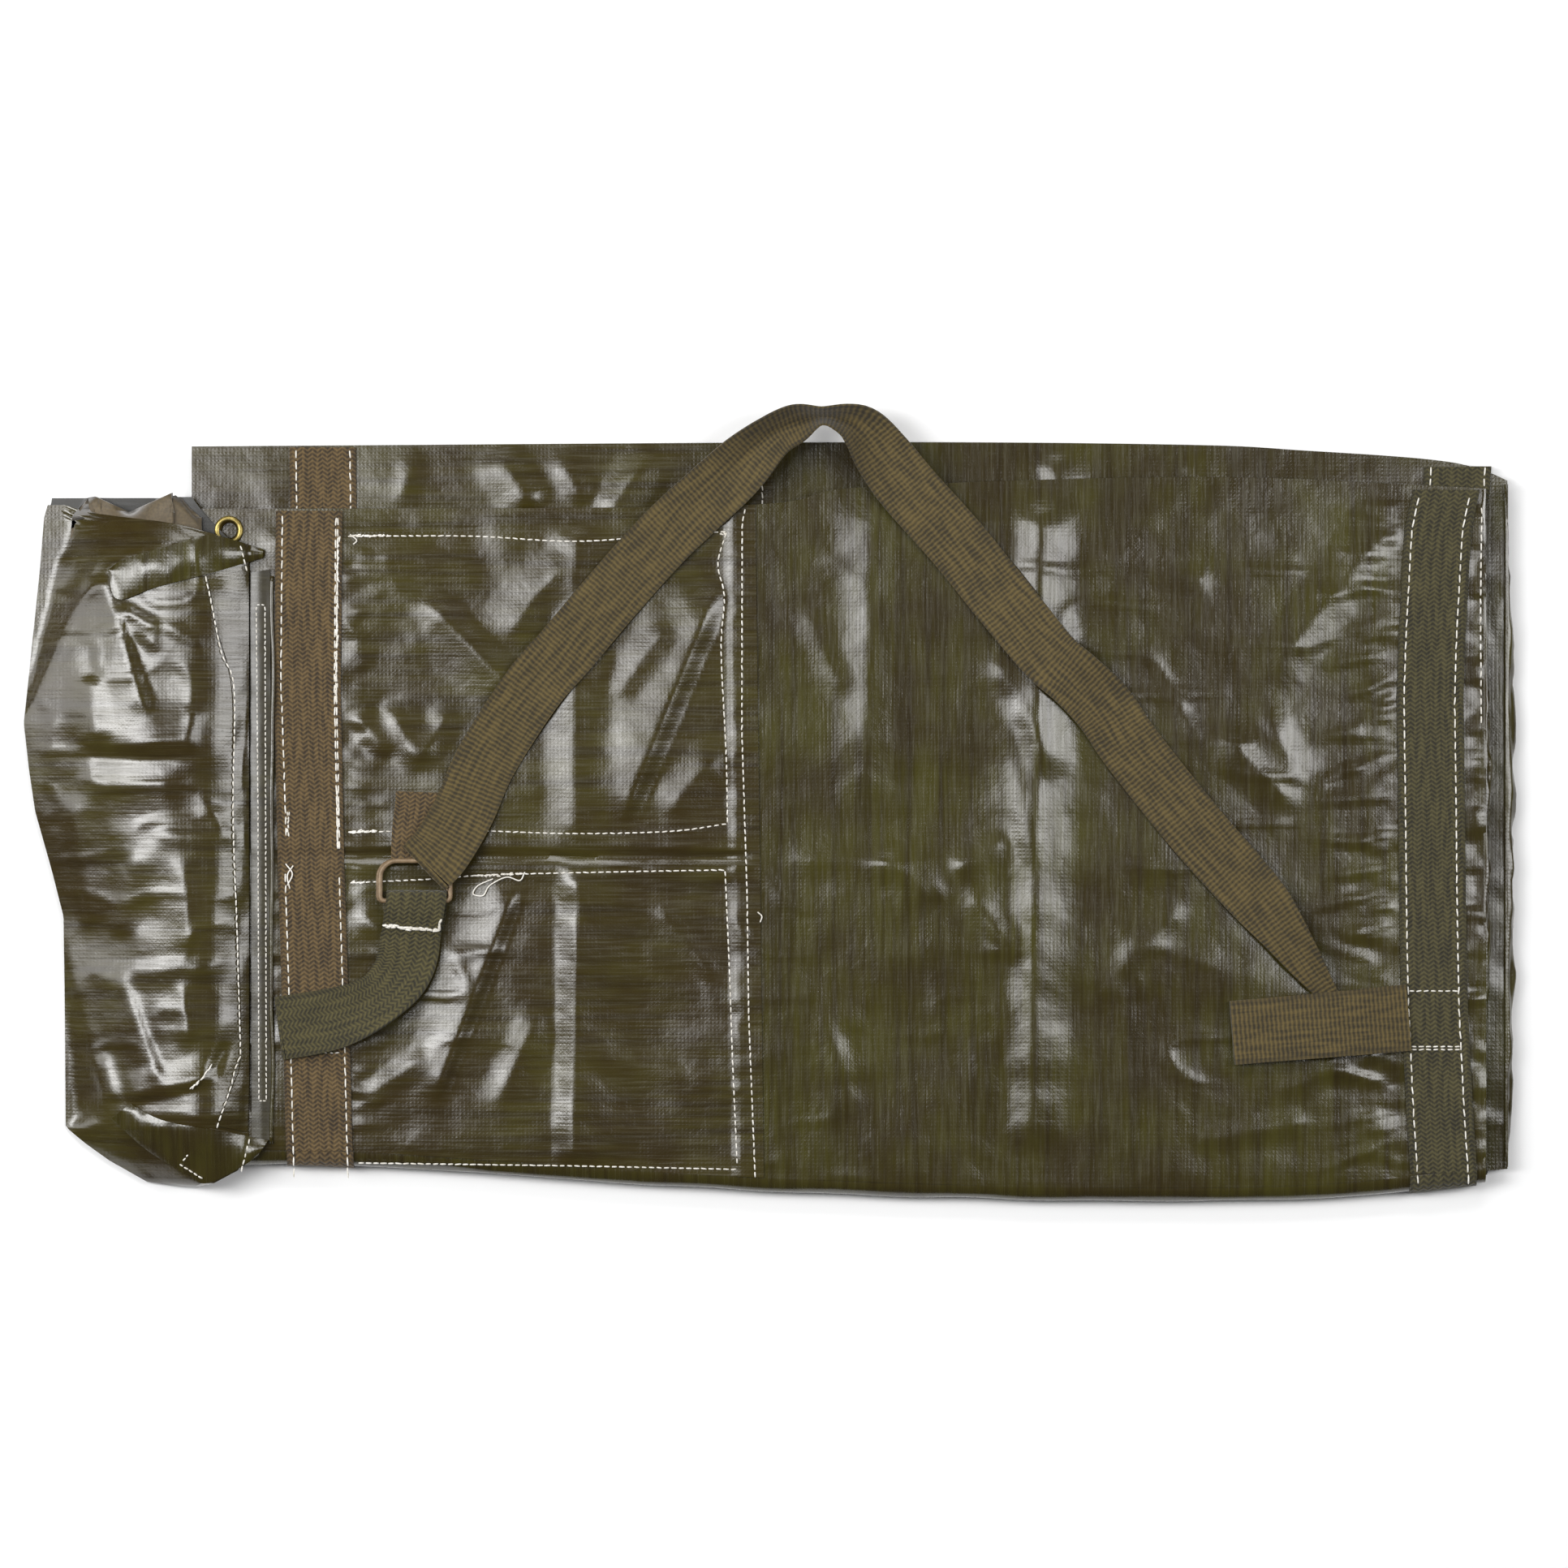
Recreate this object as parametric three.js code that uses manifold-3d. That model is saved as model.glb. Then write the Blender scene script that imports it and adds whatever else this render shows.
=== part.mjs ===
// A soft folding stretcher, folded for carrying.
//
// The opened stretcher is one coated sheet with webbing across its underside. It is folded across its
// middle, then folded lengthwise along its centre line, so that four layers lie flat: the lower pack's
// outer and inner sheet, and the upper pack's inner and outer sheet. A shoulder strap runs over the
// upper pack, and a pocket with a rolled cover hangs on its end. Millimetres, +Z up.

import * as THREE from 'three';
import { mergeVertices } from 'three/addons/utils/BufferGeometryUtils.js';
import Module from 'manifold-3d';

const wasm = await Module();
wasm.setup();

// ---- Driving dimensions ---------------------------------------------------------------------------

const CLOTH = 1.2; // coated cloth with the air that it traps
const WEBBING = 1.8; // thickness of all webbing and strap
const CLEARANCE = 0.3; // between pieces that touch
const LOFT = 2.4; // air between the two layers of one pack

const END_PANEL = 350; // from the lap seam to the sheet's cut end
const MIDDLE_PANEL = 440; // from the lap seam to the cross fold
const SEAM_X = -6; // the upper pack's lap seam
const SEAM_LAP = 14; // overlap of the two panels
const LOWER_SHIFT = 8; // the lower pack lies this much further right
const OUTER_LOOP = 8; // its cross fold reaches this much further again
const HALF_DEPTH = 218; // from the centre line to the long fold at its left end
const INNER_FOLD_INSET = 3; // the inner sheet's long fold lies this far inside the outer's
const FOLD_RISE = 4.5; // how far the lower cross fold swells above its cloth

const CROSS_WEBBING = 40; // width of the webbing across the sheet
const LEFT_WEBBING_INSET = 62; // its edge, from the cut end
const RIGHT_WEBBING_INSET = 7.5; // its edge, from the cross fold
const RIGHT_WEBBING_BOW = 9; // how far its middle lies nearer the seam
const LEFT_WEBBING_LEAN = 3.5; // how far its ends lie to either side
const WEBBING_MARGIN = 7; // from the webbing's ends to the free edge and to the long fold

const PATCH_UNDERLAP = 2; // of the backing patches beneath the left webbing
const PATCH_TUCK = 24; // between the two patches
const PATCH_INSET = 20; // from the free edge to the upper patch, and from the seam to both
const PATCH_FOLD_CLEAR = 5.1; // from the long fold's cloth to the lower patch

const EYELET_HOLE = 4.7; // radius
const EYELET_FLANGE = 8.8; // radius
const EYELET_WALL = 0.6;
const EYELET_FROM_END = 31; // from the sheet's cut end
const EYELET_FROM_EDGE = 13; // from the free edge

const STRAP_WIDTH = 37;
const APEX_X = 30; // the strap's turn
const APEX_RISE = 10; // the turn, past the half depth
const STRAP_AXIS_INSET = 111; // from the half depth to the line about which the strap lifts
const STRAP_AXIS_CLEAR = 1.5; // what moves starts this far past it
const ANCHOR_CLEAR = 2.5; // what stays ends this far before it

const RING_WIRE = 3; // diameter
const RING_INSIDE = 39; // inside width of a D-ring
const RING_HEIGHT = 24; // bar to bow, centre to centre
const RING_FROM_BEND = 81.75; // the rings' middle, from the ring strap's folded end
const RING_BAR_RISE = 47.5; // the bars, from the line about which the strap lifts

const POCKET_INSET = 46; // from the cut end to the line about which the pocket lifts
const POCKET_FLANGE = 11; // width of the sewn flange
const POCKET_REACH = 140; // from its seam to its outer end
const POCKET_HEIGHT = 36; // of the swollen front skin
const POCKET_RISE = 6; // its mouth, past the free edge at the cut end
const POCKET_DROP = 13.5; // its bottom, past the long fold at the cut end
const POCKET_FACING = 12; // width of the facing beside the seam
const POCKET_START = 2.5; // from the lifting line to the pocket

// ---- Levels, from the floor up --------------------------------------------------------------------

const lowerOuterWeb = 0;
const lowerOuter = lowerOuterWeb + WEBBING + CLEARANCE;
const lowerInner = lowerOuter + 2 * CLOTH + CLEARANCE + LOFT;
const lowerInnerWeb = lowerInner + CLOTH + CLEARANCE;
const middleLevel = lowerInnerWeb + WEBBING + CLEARANCE / 2;
const upperInnerWeb = middleLevel + CLEARANCE / 2;
const upperInner = upperInnerWeb + WEBBING + CLEARANCE;
const upperOuter = upperInner + 2 * CLOTH + CLEARANCE + LOFT;
const faceLevel = upperOuter + CLOTH + CLEARANCE;
const strapLevel = faceLevel + WEBBING + CLEARANCE;
const strapMid = strapLevel + WEBBING / 2;

// ---- Small tools ----------------------------------------------------------------------------------

const COLOURS = {
  cloth: { color: 0x4a4424, roughness: 0.3, metalness: 0 },
  webbing: { color: 0x5a4c2c, roughness: 0.85, metalness: 0 },
  strap: { color: 0x5c4e2c, roughness: 0.85, metalness: 0 },
  nylon: { color: 0x705e44, roughness: 0.7, metalness: 0 },
  brass: { color: 0xa59646, roughness: 0.35, metalness: 1 },
  ring: { color: 0x78644e, roughness: 0.45, metalness: 0.3 },
};

const stretcher = new THREE.Group();

function toSolid(geometry) {
  const bare = geometry.clone();
  bare.deleteAttribute('normal');
  bare.deleteAttribute('uv');
  const merged = mergeVertices(bare, 1e-4);
  return new wasm.Manifold(new wasm.Mesh({
    numProp: 3,
    vertProperties: new Float32Array(merged.attributes.position.array),
    triVerts: new Uint32Array(merged.index.array),
  }));
}

function toGeometry(solid) {
  const mesh = solid.getMesh();
  const geometry = new THREE.BufferGeometry();
  geometry.setAttribute('position', new THREE.BufferAttribute(mesh.vertProperties, 3));
  geometry.setIndex(new THREE.BufferAttribute(mesh.triVerts, 1));
  geometry.computeVertexNormals();
  return geometry;
}

function add(group, name, look, solid) {
  const geometry = solid.isBufferGeometry ? solid : toGeometry(solid);
  const mesh = new THREE.Mesh(geometry, new THREE.MeshStandardMaterial(COLOURS[look]));
  mesh.name = name;
  group.add(mesh);
}

const points = (pairs) => pairs.map(([x, y]) => new THREE.Vector2(x, y));

// An upright plate: the outline, seen from above, between two levels.
function plate(outline, bottom, top) {
  const geometry = new THREE.ExtrudeGeometry(new THREE.Shape(points(outline)), {
    depth: top - bottom,
    bevelEnabled: false,
  });
  return geometry.translate(0, 0, bottom);
}

// A section drawn in X and Z, run along Y.
function alongY(section, from, to) {
  const geometry = new THREE.ExtrudeGeometry(new THREE.Shape(points(section)), {
    depth: to - from,
    bevelEnabled: false,
  });
  return geometry.rotateX(Math.PI / 2).translate(0, to, 0);
}

// A section drawn in Y and Z, run along X.
function alongX(section, from, to) {
  const geometry = new THREE.ExtrudeGeometry(new THREE.Shape(points(section)), {
    depth: to - from,
    bevelEnabled: false,
  });
  const turn = new THREE.Matrix4().makeBasis(
    new THREE.Vector3(0, 1, 0),
    new THREE.Vector3(0, 0, 1),
    new THREE.Vector3(1, 0, 0),
  );
  return geometry.applyMatrix4(turn).translate(from, 0, 0);
}

// The outline of a band of constant or changing width along a line of points.
function band(line, width) {
  const left = [];
  const right = [];
  line.forEach(([x, y], i) => {
    const [ax, ay] = line[Math.max(i - 1, 0)];
    const [bx, by] = line[Math.min(i + 1, line.length - 1)];
    const length = Math.hypot(bx - ax, by - ay);
    const half = (Array.isArray(width) ? width[i] : width) / 2;
    const nx = (-(by - ay) / length) * half;
    const ny = ((bx - ax) / length) * half;
    left.push([x + nx, y + ny]);
    right.unshift([x - nx, y - ny]);
  });
  return [...left, ...right];
}

// A smooth line through pairs [share of the way, value].
function smooth(pairs, steps) {
  return new THREE.SplineCurve(points(pairs)).getPoints(steps).map((p) => [p.x, p.y]);
}

// The points of an arc, in degrees, around a centre.
function arc(x, y, radius, from, to, steps = 8) {
  return Array.from({ length: steps + 1 }, (_, i) => {
    const angle = THREE.MathUtils.degToRad(from + ((to - from) * i) / steps);
    return [x + radius * Math.cos(angle), y + radius * Math.sin(angle)];
  });
}

const FAR = 600; // beyond the whole object
const cutTo = (geometry, outline) => toSolid(geometry).intersect(toSolid(plate(outline, -FAR, FAR)));

// ---- The two packs' outlines ----------------------------------------------------------------------

const EDGE_STEPS = 16;

// How far each edge lies inside, or past, the half depth, along the pack from its cut end.
const LONG_FOLD_SAG = [[0, 0], [0.14, 0.5], [0.4, 14], [0.65, 21], [0.85, 20.5], [1, 10]];
const UPPER_EDGE_DIP = [[0, 42], [0.42, 40], [0.52, 29], [0.77, 22.6], [0.93, 27], [1, 30]];
const LOWER_EDGE_DIP = [[0, 4], [0.5, 1.5], [0.8, 4], [0.93, 16], [1, 33]];

const upper = { left: SEAM_X - END_PANEL, seam: SEAM_X, right: SEAM_X + MIDDLE_PANEL };
const lower = {
  left: upper.left + LOWER_SHIFT,
  seam: SEAM_X + LOWER_SHIFT,
  right: upper.right + LOWER_SHIFT + OUTER_LOOP,
};

function edge(pack, pairs, place) {
  const length = pack.right - pack.left;
  return smooth(pairs, EDGE_STEPS).map(([share, value]) => [pack.left + share * length, place(value)]);
}

const foldEdge = (pack) => edge(pack, LONG_FOLD_SAG, (sag) => -HALF_DEPTH - sag);
const freeEdge = {
  upper: edge(upper, UPPER_EDGE_DIP, (dip) => HALF_DEPTH - dip),
  lower: edge(lower, LOWER_EDGE_DIP, (dip) => HALF_DEPTH - dip),
};

function heightAt(line, x) {
  const i = Math.max(line.findIndex(([px]) => px >= x), 1);
  const [[ax, ay], [bx, by]] = [line[i - 1], line[i]];
  return ay + ((by - ay) * (x - ax)) / (bx - ax);
}

// The cloth stops short of the long fold, where the fold's own cloth stands.
const inward = (line, by) => line.map(([x, y]) => [x, y + by]);
const outline = (fold, free, by) => [...inward(fold, by), ...[...free].reverse()];
const FOLD_CLEAR = CLOTH + CLEARANCE;
const INNER_CLEAR = INNER_FOLD_INSET + FOLD_CLEAR;
const upperOuterOutline = outline(foldEdge(upper), freeEdge.upper, FOLD_CLEAR);
const upperInnerOutline = outline(foldEdge(upper), freeEdge.upper, INNER_CLEAR);
const lowerOuterOutline = outline(foldEdge(lower), freeEdge.lower, FOLD_CLEAR);
const lowerInnerOutline = outline(foldEdge(lower), freeEdge.lower, INNER_CLEAR);

// ---- Sheets: an end panel lapped on a middle panel -----------------------------------------------

// side is 1 where the lap shows above the cloth and -1 where it lies below.
function endPanel(pack, level, side) {
  const lapStart = pack.seam - SEAM_LAP;
  const near = side > 0 ? level : level + CLOTH;
  const far = near + side * CLOTH;
  const lapNear = far + side * CLEARANCE;
  const lapFar = lapNear + side * CLOTH;
  return alongY([
    [pack.left, near],
    [lapStart - CLEARANCE, near],
    [lapStart - CLEARANCE, lapNear],
    [pack.seam, lapNear],
    [pack.seam, lapFar],
    [lapStart - CLEARANCE - CLOTH, lapFar],
    [lapStart - CLEARANCE - CLOTH, far],
    [pack.left, far],
  ], -FAR, FAR);
}

function middlePanel(pack, level, end) {
  const section = [
    [pack.seam - SEAM_LAP, level],
    [end, level],
    [end, level + CLOTH],
    [pack.seam - SEAM_LAP, level + CLOTH],
  ];
  return alongY(section, -FAR, FAR);
}

// The rounded fold at the pack's right end, open at both its ends.
function crossFold(pack, bottom, top, rise) {
  const height = top + CLOTH - bottom;
  const outerRadius = (height + rise) / 2;
  const centre = bottom + outerRadius;
  const x = pack.right - outerRadius;
  const neck = x - outerRadius - rise;
  const section = [
    [neck, bottom],
    ...arc(x, centre, outerRadius, -90, 90, 12),
    [neck, top + CLOTH],
    [neck, top],
    ...arc(x, centre, outerRadius - CLOTH, 90, -90, 12),
    [neck, bottom + CLOTH],
  ];
  return { start: neck, geometry: alongY(section, -FAR, FAR) };
}

// ---- Webbing across a sheet -----------------------------------------------------------------------

function crossWebbing(fold, free, centreAt, level) {
  const steps = 8;
  const bottom = heightAt(fold, centreAt(0)) + FOLD_CLEAR + WEBBING_MARGIN;
  const top = heightAt(free, centreAt(1)) - WEBBING_MARGIN;
  const line = Array.from({ length: steps + 1 }, (_, i) => {
    const share = i / steps;
    return [centreAt(share), bottom + share * (top - bottom)];
  });
  return plate(band(line, CROSS_WEBBING), level, level + WEBBING);
}

const leftInset = LEFT_WEBBING_INSET + CROSS_WEBBING / 2;
const rightInset = RIGHT_WEBBING_INSET + CROSS_WEBBING / 2;
const leftCentre = (pack, shift) => (share) => (
  pack.left + leftInset + shift + LEFT_WEBBING_LEAN * (1 - 2 * share));
const rightCentre = (pack, shift) => (share) => (
  pack.right - rightInset + shift + RIGHT_WEBBING_BOW * ((2 * share - 1) ** 2 - 1));

// ---- Lower pack -----------------------------------------------------------------------------------

// The cloth that stands at the long fold, from one level up to another, as far as an end.
function foldBand(pack, inset, bottom, top, end) {
  return cutTo(
    plate(band(inward(foldEdge(pack), inset + CLOTH / 2), CLOTH), bottom, top),
    [[-FAR, -FAR], [end, -FAR], [end, FAR], [-FAR, FAR]],
  );
}

const lowerPack = new THREE.Group();
const lowerEdge = foldEdge(lower);
const lowerFold = crossFold(lower, lowerOuter, lowerInner, FOLD_RISE);
const lowerEnd = lowerFold.start - CLEARANCE;
const lowerFoldTop = middleLevel - CLEARANCE / 2;

add(lowerPack, 'lower_outer_left_webbing', 'webbing',
  crossWebbing(lowerEdge, freeEdge.lower, leftCentre(lower, -LOWER_SHIFT), lowerOuterWeb));
add(lowerPack, 'lower_outer_right_webbing', 'webbing',
  crossWebbing(lowerEdge, freeEdge.lower, rightCentre(lower, -OUTER_LOOP), lowerOuterWeb));
add(lowerPack, 'lower_outer_end_panel', 'cloth', cutTo(endPanel(lower, lowerOuter, -1), lowerOuterOutline));
add(lowerPack, 'lower_outer_middle_panel', 'cloth',
  cutTo(middlePanel(lower, lowerOuter, lowerEnd), lowerOuterOutline));
add(lowerPack, 'lower_inner_end_panel', 'cloth', cutTo(endPanel(lower, lowerInner, 1), lowerInnerOutline));
add(lowerPack, 'lower_inner_middle_panel', 'cloth',
  cutTo(middlePanel(lower, lowerInner, lowerEnd), lowerInnerOutline));
add(lowerPack, 'lower_inner_left_webbing', 'webbing',
  crossWebbing(lowerEdge, freeEdge.lower, leftCentre(lower, 0), lowerInnerWeb));
add(lowerPack, 'lower_inner_right_webbing', 'webbing',
  crossWebbing(lowerEdge, freeEdge.lower, rightCentre(lower, -OUTER_LOOP - 1), lowerInnerWeb));
add(lowerPack, 'lower_cross_fold', 'cloth', cutTo(lowerFold.geometry, lowerInnerOutline));
add(lowerPack, 'lower_outer_long_fold', 'cloth', foldBand(lower, 0, lowerOuter, lowerFoldTop, lower.right));
add(lowerPack, 'lower_inner_long_fold', 'cloth',
  foldBand(lower, INNER_FOLD_INSET, lowerInner, lowerFoldTop, lowerEnd));
stretcher.add(lowerPack);

// ---- Upper pack -----------------------------------------------------------------------------------

const upperPack = new THREE.Group();
const upperEdge = foldEdge(upper);
const upperFold = crossFold(upper, upperInner, upperOuter, 0);
const upperEnd = upperFold.start - CLEARANCE;
const upperFoldBottom = middleLevel + CLEARANCE / 2;

const eyeletX = upper.left + EYELET_FROM_END;
const eyeletY = heightAt(freeEdge.upper, eyeletX) - EYELET_FROM_EDGE;
const eyeletBarrel = EYELET_HOLE + EYELET_WALL;
const eyeletBottom = upperOuter - CLEARANCE - CLOTH - EYELET_WALL;

// A round piece about the eyelet's axis, from a closed profile of radius and height.
function turned(profile) {
  const geometry = new THREE.LatheGeometry(points([...profile, profile[0]]), 32);
  return geometry.rotateX(Math.PI / 2).translate(eyeletX, eyeletY, 0);
}

const eyeletCut = new THREE.CylinderGeometry(eyeletBarrel + CLEARANCE, eyeletBarrel + CLEARANCE, 2 * FAR, 32)
  .rotateX(Math.PI / 2)
  .translate(eyeletX, eyeletY, 0);

add(upperPack, 'upper_inner_left_webbing', 'webbing',
  crossWebbing(upperEdge, freeEdge.upper, leftCentre(upper, 0), upperInnerWeb));
add(upperPack, 'upper_inner_right_webbing', 'webbing',
  crossWebbing(upperEdge, freeEdge.upper, rightCentre(upper, 0), upperInnerWeb));
add(upperPack, 'upper_inner_end_panel', 'cloth', cutTo(endPanel(upper, upperInner, -1), upperInnerOutline));
add(upperPack, 'upper_inner_middle_panel', 'cloth',
  cutTo(middlePanel(upper, upperInner, upperEnd), upperInnerOutline));
add(upperPack, 'upper_outer_end_panel', 'cloth',
  cutTo(endPanel(upper, upperOuter, 1), upperOuterOutline).subtract(toSolid(eyeletCut)));
add(upperPack, 'upper_outer_middle_panel', 'cloth',
  cutTo(middlePanel(upper, upperOuter, upperEnd), upperOuterOutline));
add(upperPack, 'upper_cross_fold', 'cloth', cutTo(upperFold.geometry, upperInnerOutline));
add(upperPack, 'upper_outer_long_fold', 'cloth',
  foldBand(upper, 0, upperFoldBottom, upperOuter + CLOTH, upper.right));
add(upperPack, 'upper_inner_long_fold', 'cloth',
  foldBand(upper, INNER_FOLD_INSET, upperFoldBottom, upperInner + CLOTH, upperEnd));
add(upperPack, 'left_cross_webbing', 'webbing',
  crossWebbing(upperEdge, freeEdge.upper, leftCentre(upper, 0), faceLevel));
add(upperPack, 'right_cross_webbing', 'webbing',
  crossWebbing(upperEdge, freeEdge.upper, rightCentre(upper, 0), faceLevel));

// The two backing patches, stitched behind the end panel on either side of its tuck.
const patchRight = upper.seam - SEAM_LAP - PATCH_INSET / 2;
const patchLeft = upper.left + leftInset + CROSS_WEBBING / 2 - PATCH_UNDERLAP;
const patchTop = heightAt(freeEdge.upper, (patchLeft + patchRight) / 2) - PATCH_INSET;
const patchBottom = heightAt(upperEdge, patchLeft) + FOLD_CLEAR + PATCH_FOLD_CLEAR;
const patchDepth = (patchTop - patchBottom - PATCH_TUCK) / 2;
['upper_backing_patch', 'lower_backing_patch'].forEach((name, i) => {
  const top = patchTop - i * (patchDepth + PATCH_TUCK);
  const level = upperOuter - CLEARANCE - CLOTH;
  add(upperPack, name, 'cloth', plate([
    [patchLeft, top - patchDepth],
    [patchRight, top - patchDepth],
    [patchRight, top],
    [patchLeft, top],
  ], level, level + CLOTH));
});

add(upperPack, 'eyelet', 'brass', turned([
  [EYELET_HOLE, eyeletBottom],
  [eyeletBarrel, eyeletBottom],
  [eyeletBarrel, faceLevel],
  [EYELET_FLANGE, faceLevel],
  [EYELET_FLANGE, faceLevel + EYELET_WALL],
  [(EYELET_FLANGE + EYELET_HOLE) / 2, faceLevel + 2 * EYELET_WALL],
  [EYELET_HOLE, faceLevel + EYELET_WALL],
]));
add(upperPack, 'eyelet_washer', 'brass', turned([
  [eyeletBarrel + CLEARANCE, eyeletBottom],
  [EYELET_FLANGE, eyeletBottom],
  [EYELET_FLANGE, upperOuter - CLEARANCE],
  [eyeletBarrel + CLEARANCE, upperOuter - CLEARANCE],
]));

// The pocket's flange, sewn flat on the end panel.
const pocketSeamX = upper.left + POCKET_INSET;
const pocketBottom = heightAt(upperEdge, pocketSeamX) - POCKET_DROP;
const pocketTop = heightAt(freeEdge.upper, upper.left + 1) + POCKET_RISE;
const pocketY = (share) => pocketBottom + share * (pocketTop - pocketBottom);
const pocketX = (share) => pocketSeamX - share * POCKET_REACH;
add(upperPack, 'pocket_flange', 'cloth', plate([
  [pocketSeamX + CLEARANCE, pocketY(0.07)],
  [pocketSeamX + POCKET_FLANGE, pocketY(0.07)],
  [pocketSeamX + POCKET_FLANGE, pocketY(0.9)],
  [pocketSeamX + CLEARANCE, pocketY(0.9)],
], faceLevel, faceLevel + WEBBING));

// ---- The ends of the straps, sewn at the webbing and folded back under themselves ------------------

const FOLD_OVER = (WEBBING + CLEARANCE) / 2; // the bend's radius, at the webbing's middle
const strapAxisY = STRAP_AXIS_INSET - HALF_DEPTH;
const anchorTop = strapAxisY - ANCHOR_CLEAR;

const rightWebbingEdge = rightCentre(upper, 0)(0.3) - CROSS_WEBBING / 2 - 2 * CLEARANCE;
const rightBend = rightWebbingEdge - 103;
const rightAnchorLine = [
  [rightBend + 70, faceLevel + WEBBING / 2],
  ...arc(rightBend, faceLevel + WEBBING / 2 + FOLD_OVER, FOLD_OVER, 270, 90, 6),
  [rightWebbingEdge - 12, strapMid],
  [rightWebbingEdge - 2, faceLevel + WEBBING / 2],
  [rightWebbingEdge, faceLevel + WEBBING / 2],
];
add(upperPack, 'right_strap_end', 'strap', cutTo(alongY(band(rightAnchorLine, WEBBING), -FAR, FAR), [
  [rightBend - 10, anchorTop - 50],
  [rightBend + 32, anchorTop - 42],
  [rightWebbingEdge + 10, anchorTop - 41],
  [rightWebbingEdge + 10, anchorTop - 1],
  [rightBend + 50, anchorTop - 5],
  [rightBend - 10, anchorTop - 11],
]));

const leftBend = leftCentre(upper, 0)(0.25) - CROSS_WEBBING / 2 - 2;
const leftAnchorLine = [
  [leftBend + 34, strapMid],
  ...arc(leftBend, strapMid + FOLD_OVER, FOLD_OVER, 270, 90, 6),
  [leftBend + 90, strapMid + 2 * FOLD_OVER],
];
add(upperPack, 'left_strap_end', 'strap', cutTo(alongY(band(leftAnchorLine, WEBBING), -FAR, FAR), [
  [leftBend - 5, anchorTop - 7],
  [leftBend + 18, anchorTop],
  [leftBend + 74, anchorTop],
  [leftBend + 62, anchorTop - 14],
  [leftBend + 34, anchorTop - 33],
  [leftBend + 2, anchorTop - 46],
]));
stretcher.add(upperPack);

// ---- Shoulder strap, rings and ring strap ---------------------------------------------------------

const carryStrap = new THREE.Group();
const backRingLevel = faceLevel + WEBBING + CLEARANCE; // underside of the ring that lies below
const tailLevel = backRingLevel + RING_WIRE + CLEARANCE; // underside of the tail between the rings
const frontRingLevel = tailLevel + WEBBING + CLEARANCE;
const frontRingMid = frontRingLevel + RING_WIRE / 2;
const wrapRadius = RING_WIRE / 2 + CLEARANCE + WEBBING / 2;
const ringX = leftBend + RING_FROM_BEND;
const barY = strapAxisY + RING_BAR_RISE;
const bowY = barY + RING_HEIGHT;
const liftStart = strapAxisY + STRAP_AXIS_CLEAR;
const apexY = HALF_DEPTH + APEX_RISE;

// Each leg runs between two places, with [share, offset to its left, width] on the way.
function leg([ax, ay], [bx, by], bends) {
  const length = Math.hypot(bx - ax, by - ay);
  const [dx, dy] = [(bx - ax) / length, (by - ay) / length];
  return bends.map(([share, offset, width]) => ({
    place: [ax + dx * share * length - dy * offset, ay + dy * share * length + dx * offset],
    width,
  }));
}

const ringEnd = [
  { place: [ringX + 1, bowY - 6], width: 18 },
  { place: [ringX + 9.5, bowY + 17.2], width: 22 },
  { place: [ringX + 25.8, bowY + 34.3], width: 32 },
];
const leftLeg = leg([APEX_X - 31, apexY - 9], [ringX + 1, bowY - 6], [
  [0.77, -11, STRAP_WIDTH],
  [0.62, -16, STRAP_WIDTH], [0.4, -14, STRAP_WIDTH], [0.25, -11, STRAP_WIDTH], [0.1, -4, STRAP_WIDTH],
  [0, 0, STRAP_WIDTH],
]);
const apex = [
  { place: [APEX_X - 14, apexY + 1], width: 22 },
  { place: [APEX_X + 1, apexY + 5.5], width: 7 },
  { place: [APEX_X + 18, apexY + 1], width: 16 },
];
const rightLeg = leg([APEX_X + 38, apexY - 18], [rightWebbingEdge - 49, liftStart], [
  [0, 0, 34], [0.1, 0, STRAP_WIDTH], [0.4, -1, STRAP_WIDTH], [0.52, 4, STRAP_WIDTH],
  [0.72, 0, STRAP_WIDTH], [0.87, 2, 30], [0.93, 1, 20], [1, 0, 10],
]);
const route = [...ringEnd, ...leftLeg, ...apex, ...rightLeg];
const routeOutline = band(route.map((r) => r.place), route.map((r) => r.width));
const climbTop = bowY + 39.5; // above this the left leg lies flat
const leftClimb = [[-FAR, -FAR], [APEX_X, -FAR], [APEX_X, climbTop], [-FAR, climbTop]];

const flatStrap = toSolid(plate(routeOutline, strapLevel, strapLevel + WEBBING))
  .subtract(toSolid(plate(inward(leftClimb, -4), -FAR, FAR)));
const climbLine = [
  [climbTop, strapMid],
  [climbTop - 8, strapMid],
  [bowY + 9.5, frontRingMid + wrapRadius],
  ...arc(bowY, frontRingMid, wrapRadius, 90, 270),
  [bowY + 4, frontRingMid - wrapRadius],
];
const climbStrap = toSolid(alongX(band(climbLine, WEBBING), -FAR, FAR))
  .intersect(toSolid(plate(routeOutline, -FAR, FAR)))
  .intersect(toSolid(plate(leftClimb, -FAR, FAR)));
add(carryStrap, 'shoulder_strap', 'strap', flatStrap.add(climbStrap));

const tailMid = tailLevel + WEBBING / 2;
add(carryStrap, 'strap_tail', 'strap', cutTo(alongX(band([
  [bowY + 4 + CLEARANCE, tailMid],
  [bowY + 11.5, tailMid],
  [bowY + 29.5, faceLevel + WEBBING / 2],
  [bowY + 55.5, faceLevel + WEBBING / 2],
], WEBBING), -FAR, FAR), [
  [ringX - 11, bowY],
  [ringX + 13, bowY],
  [ringX + 28, bowY + 40.5],
  [ringX + 18, bowY + 49.5],
  [ringX - 1, bowY + 39.5],
  [ringX - 12, bowY + 33.5],
]));

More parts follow.
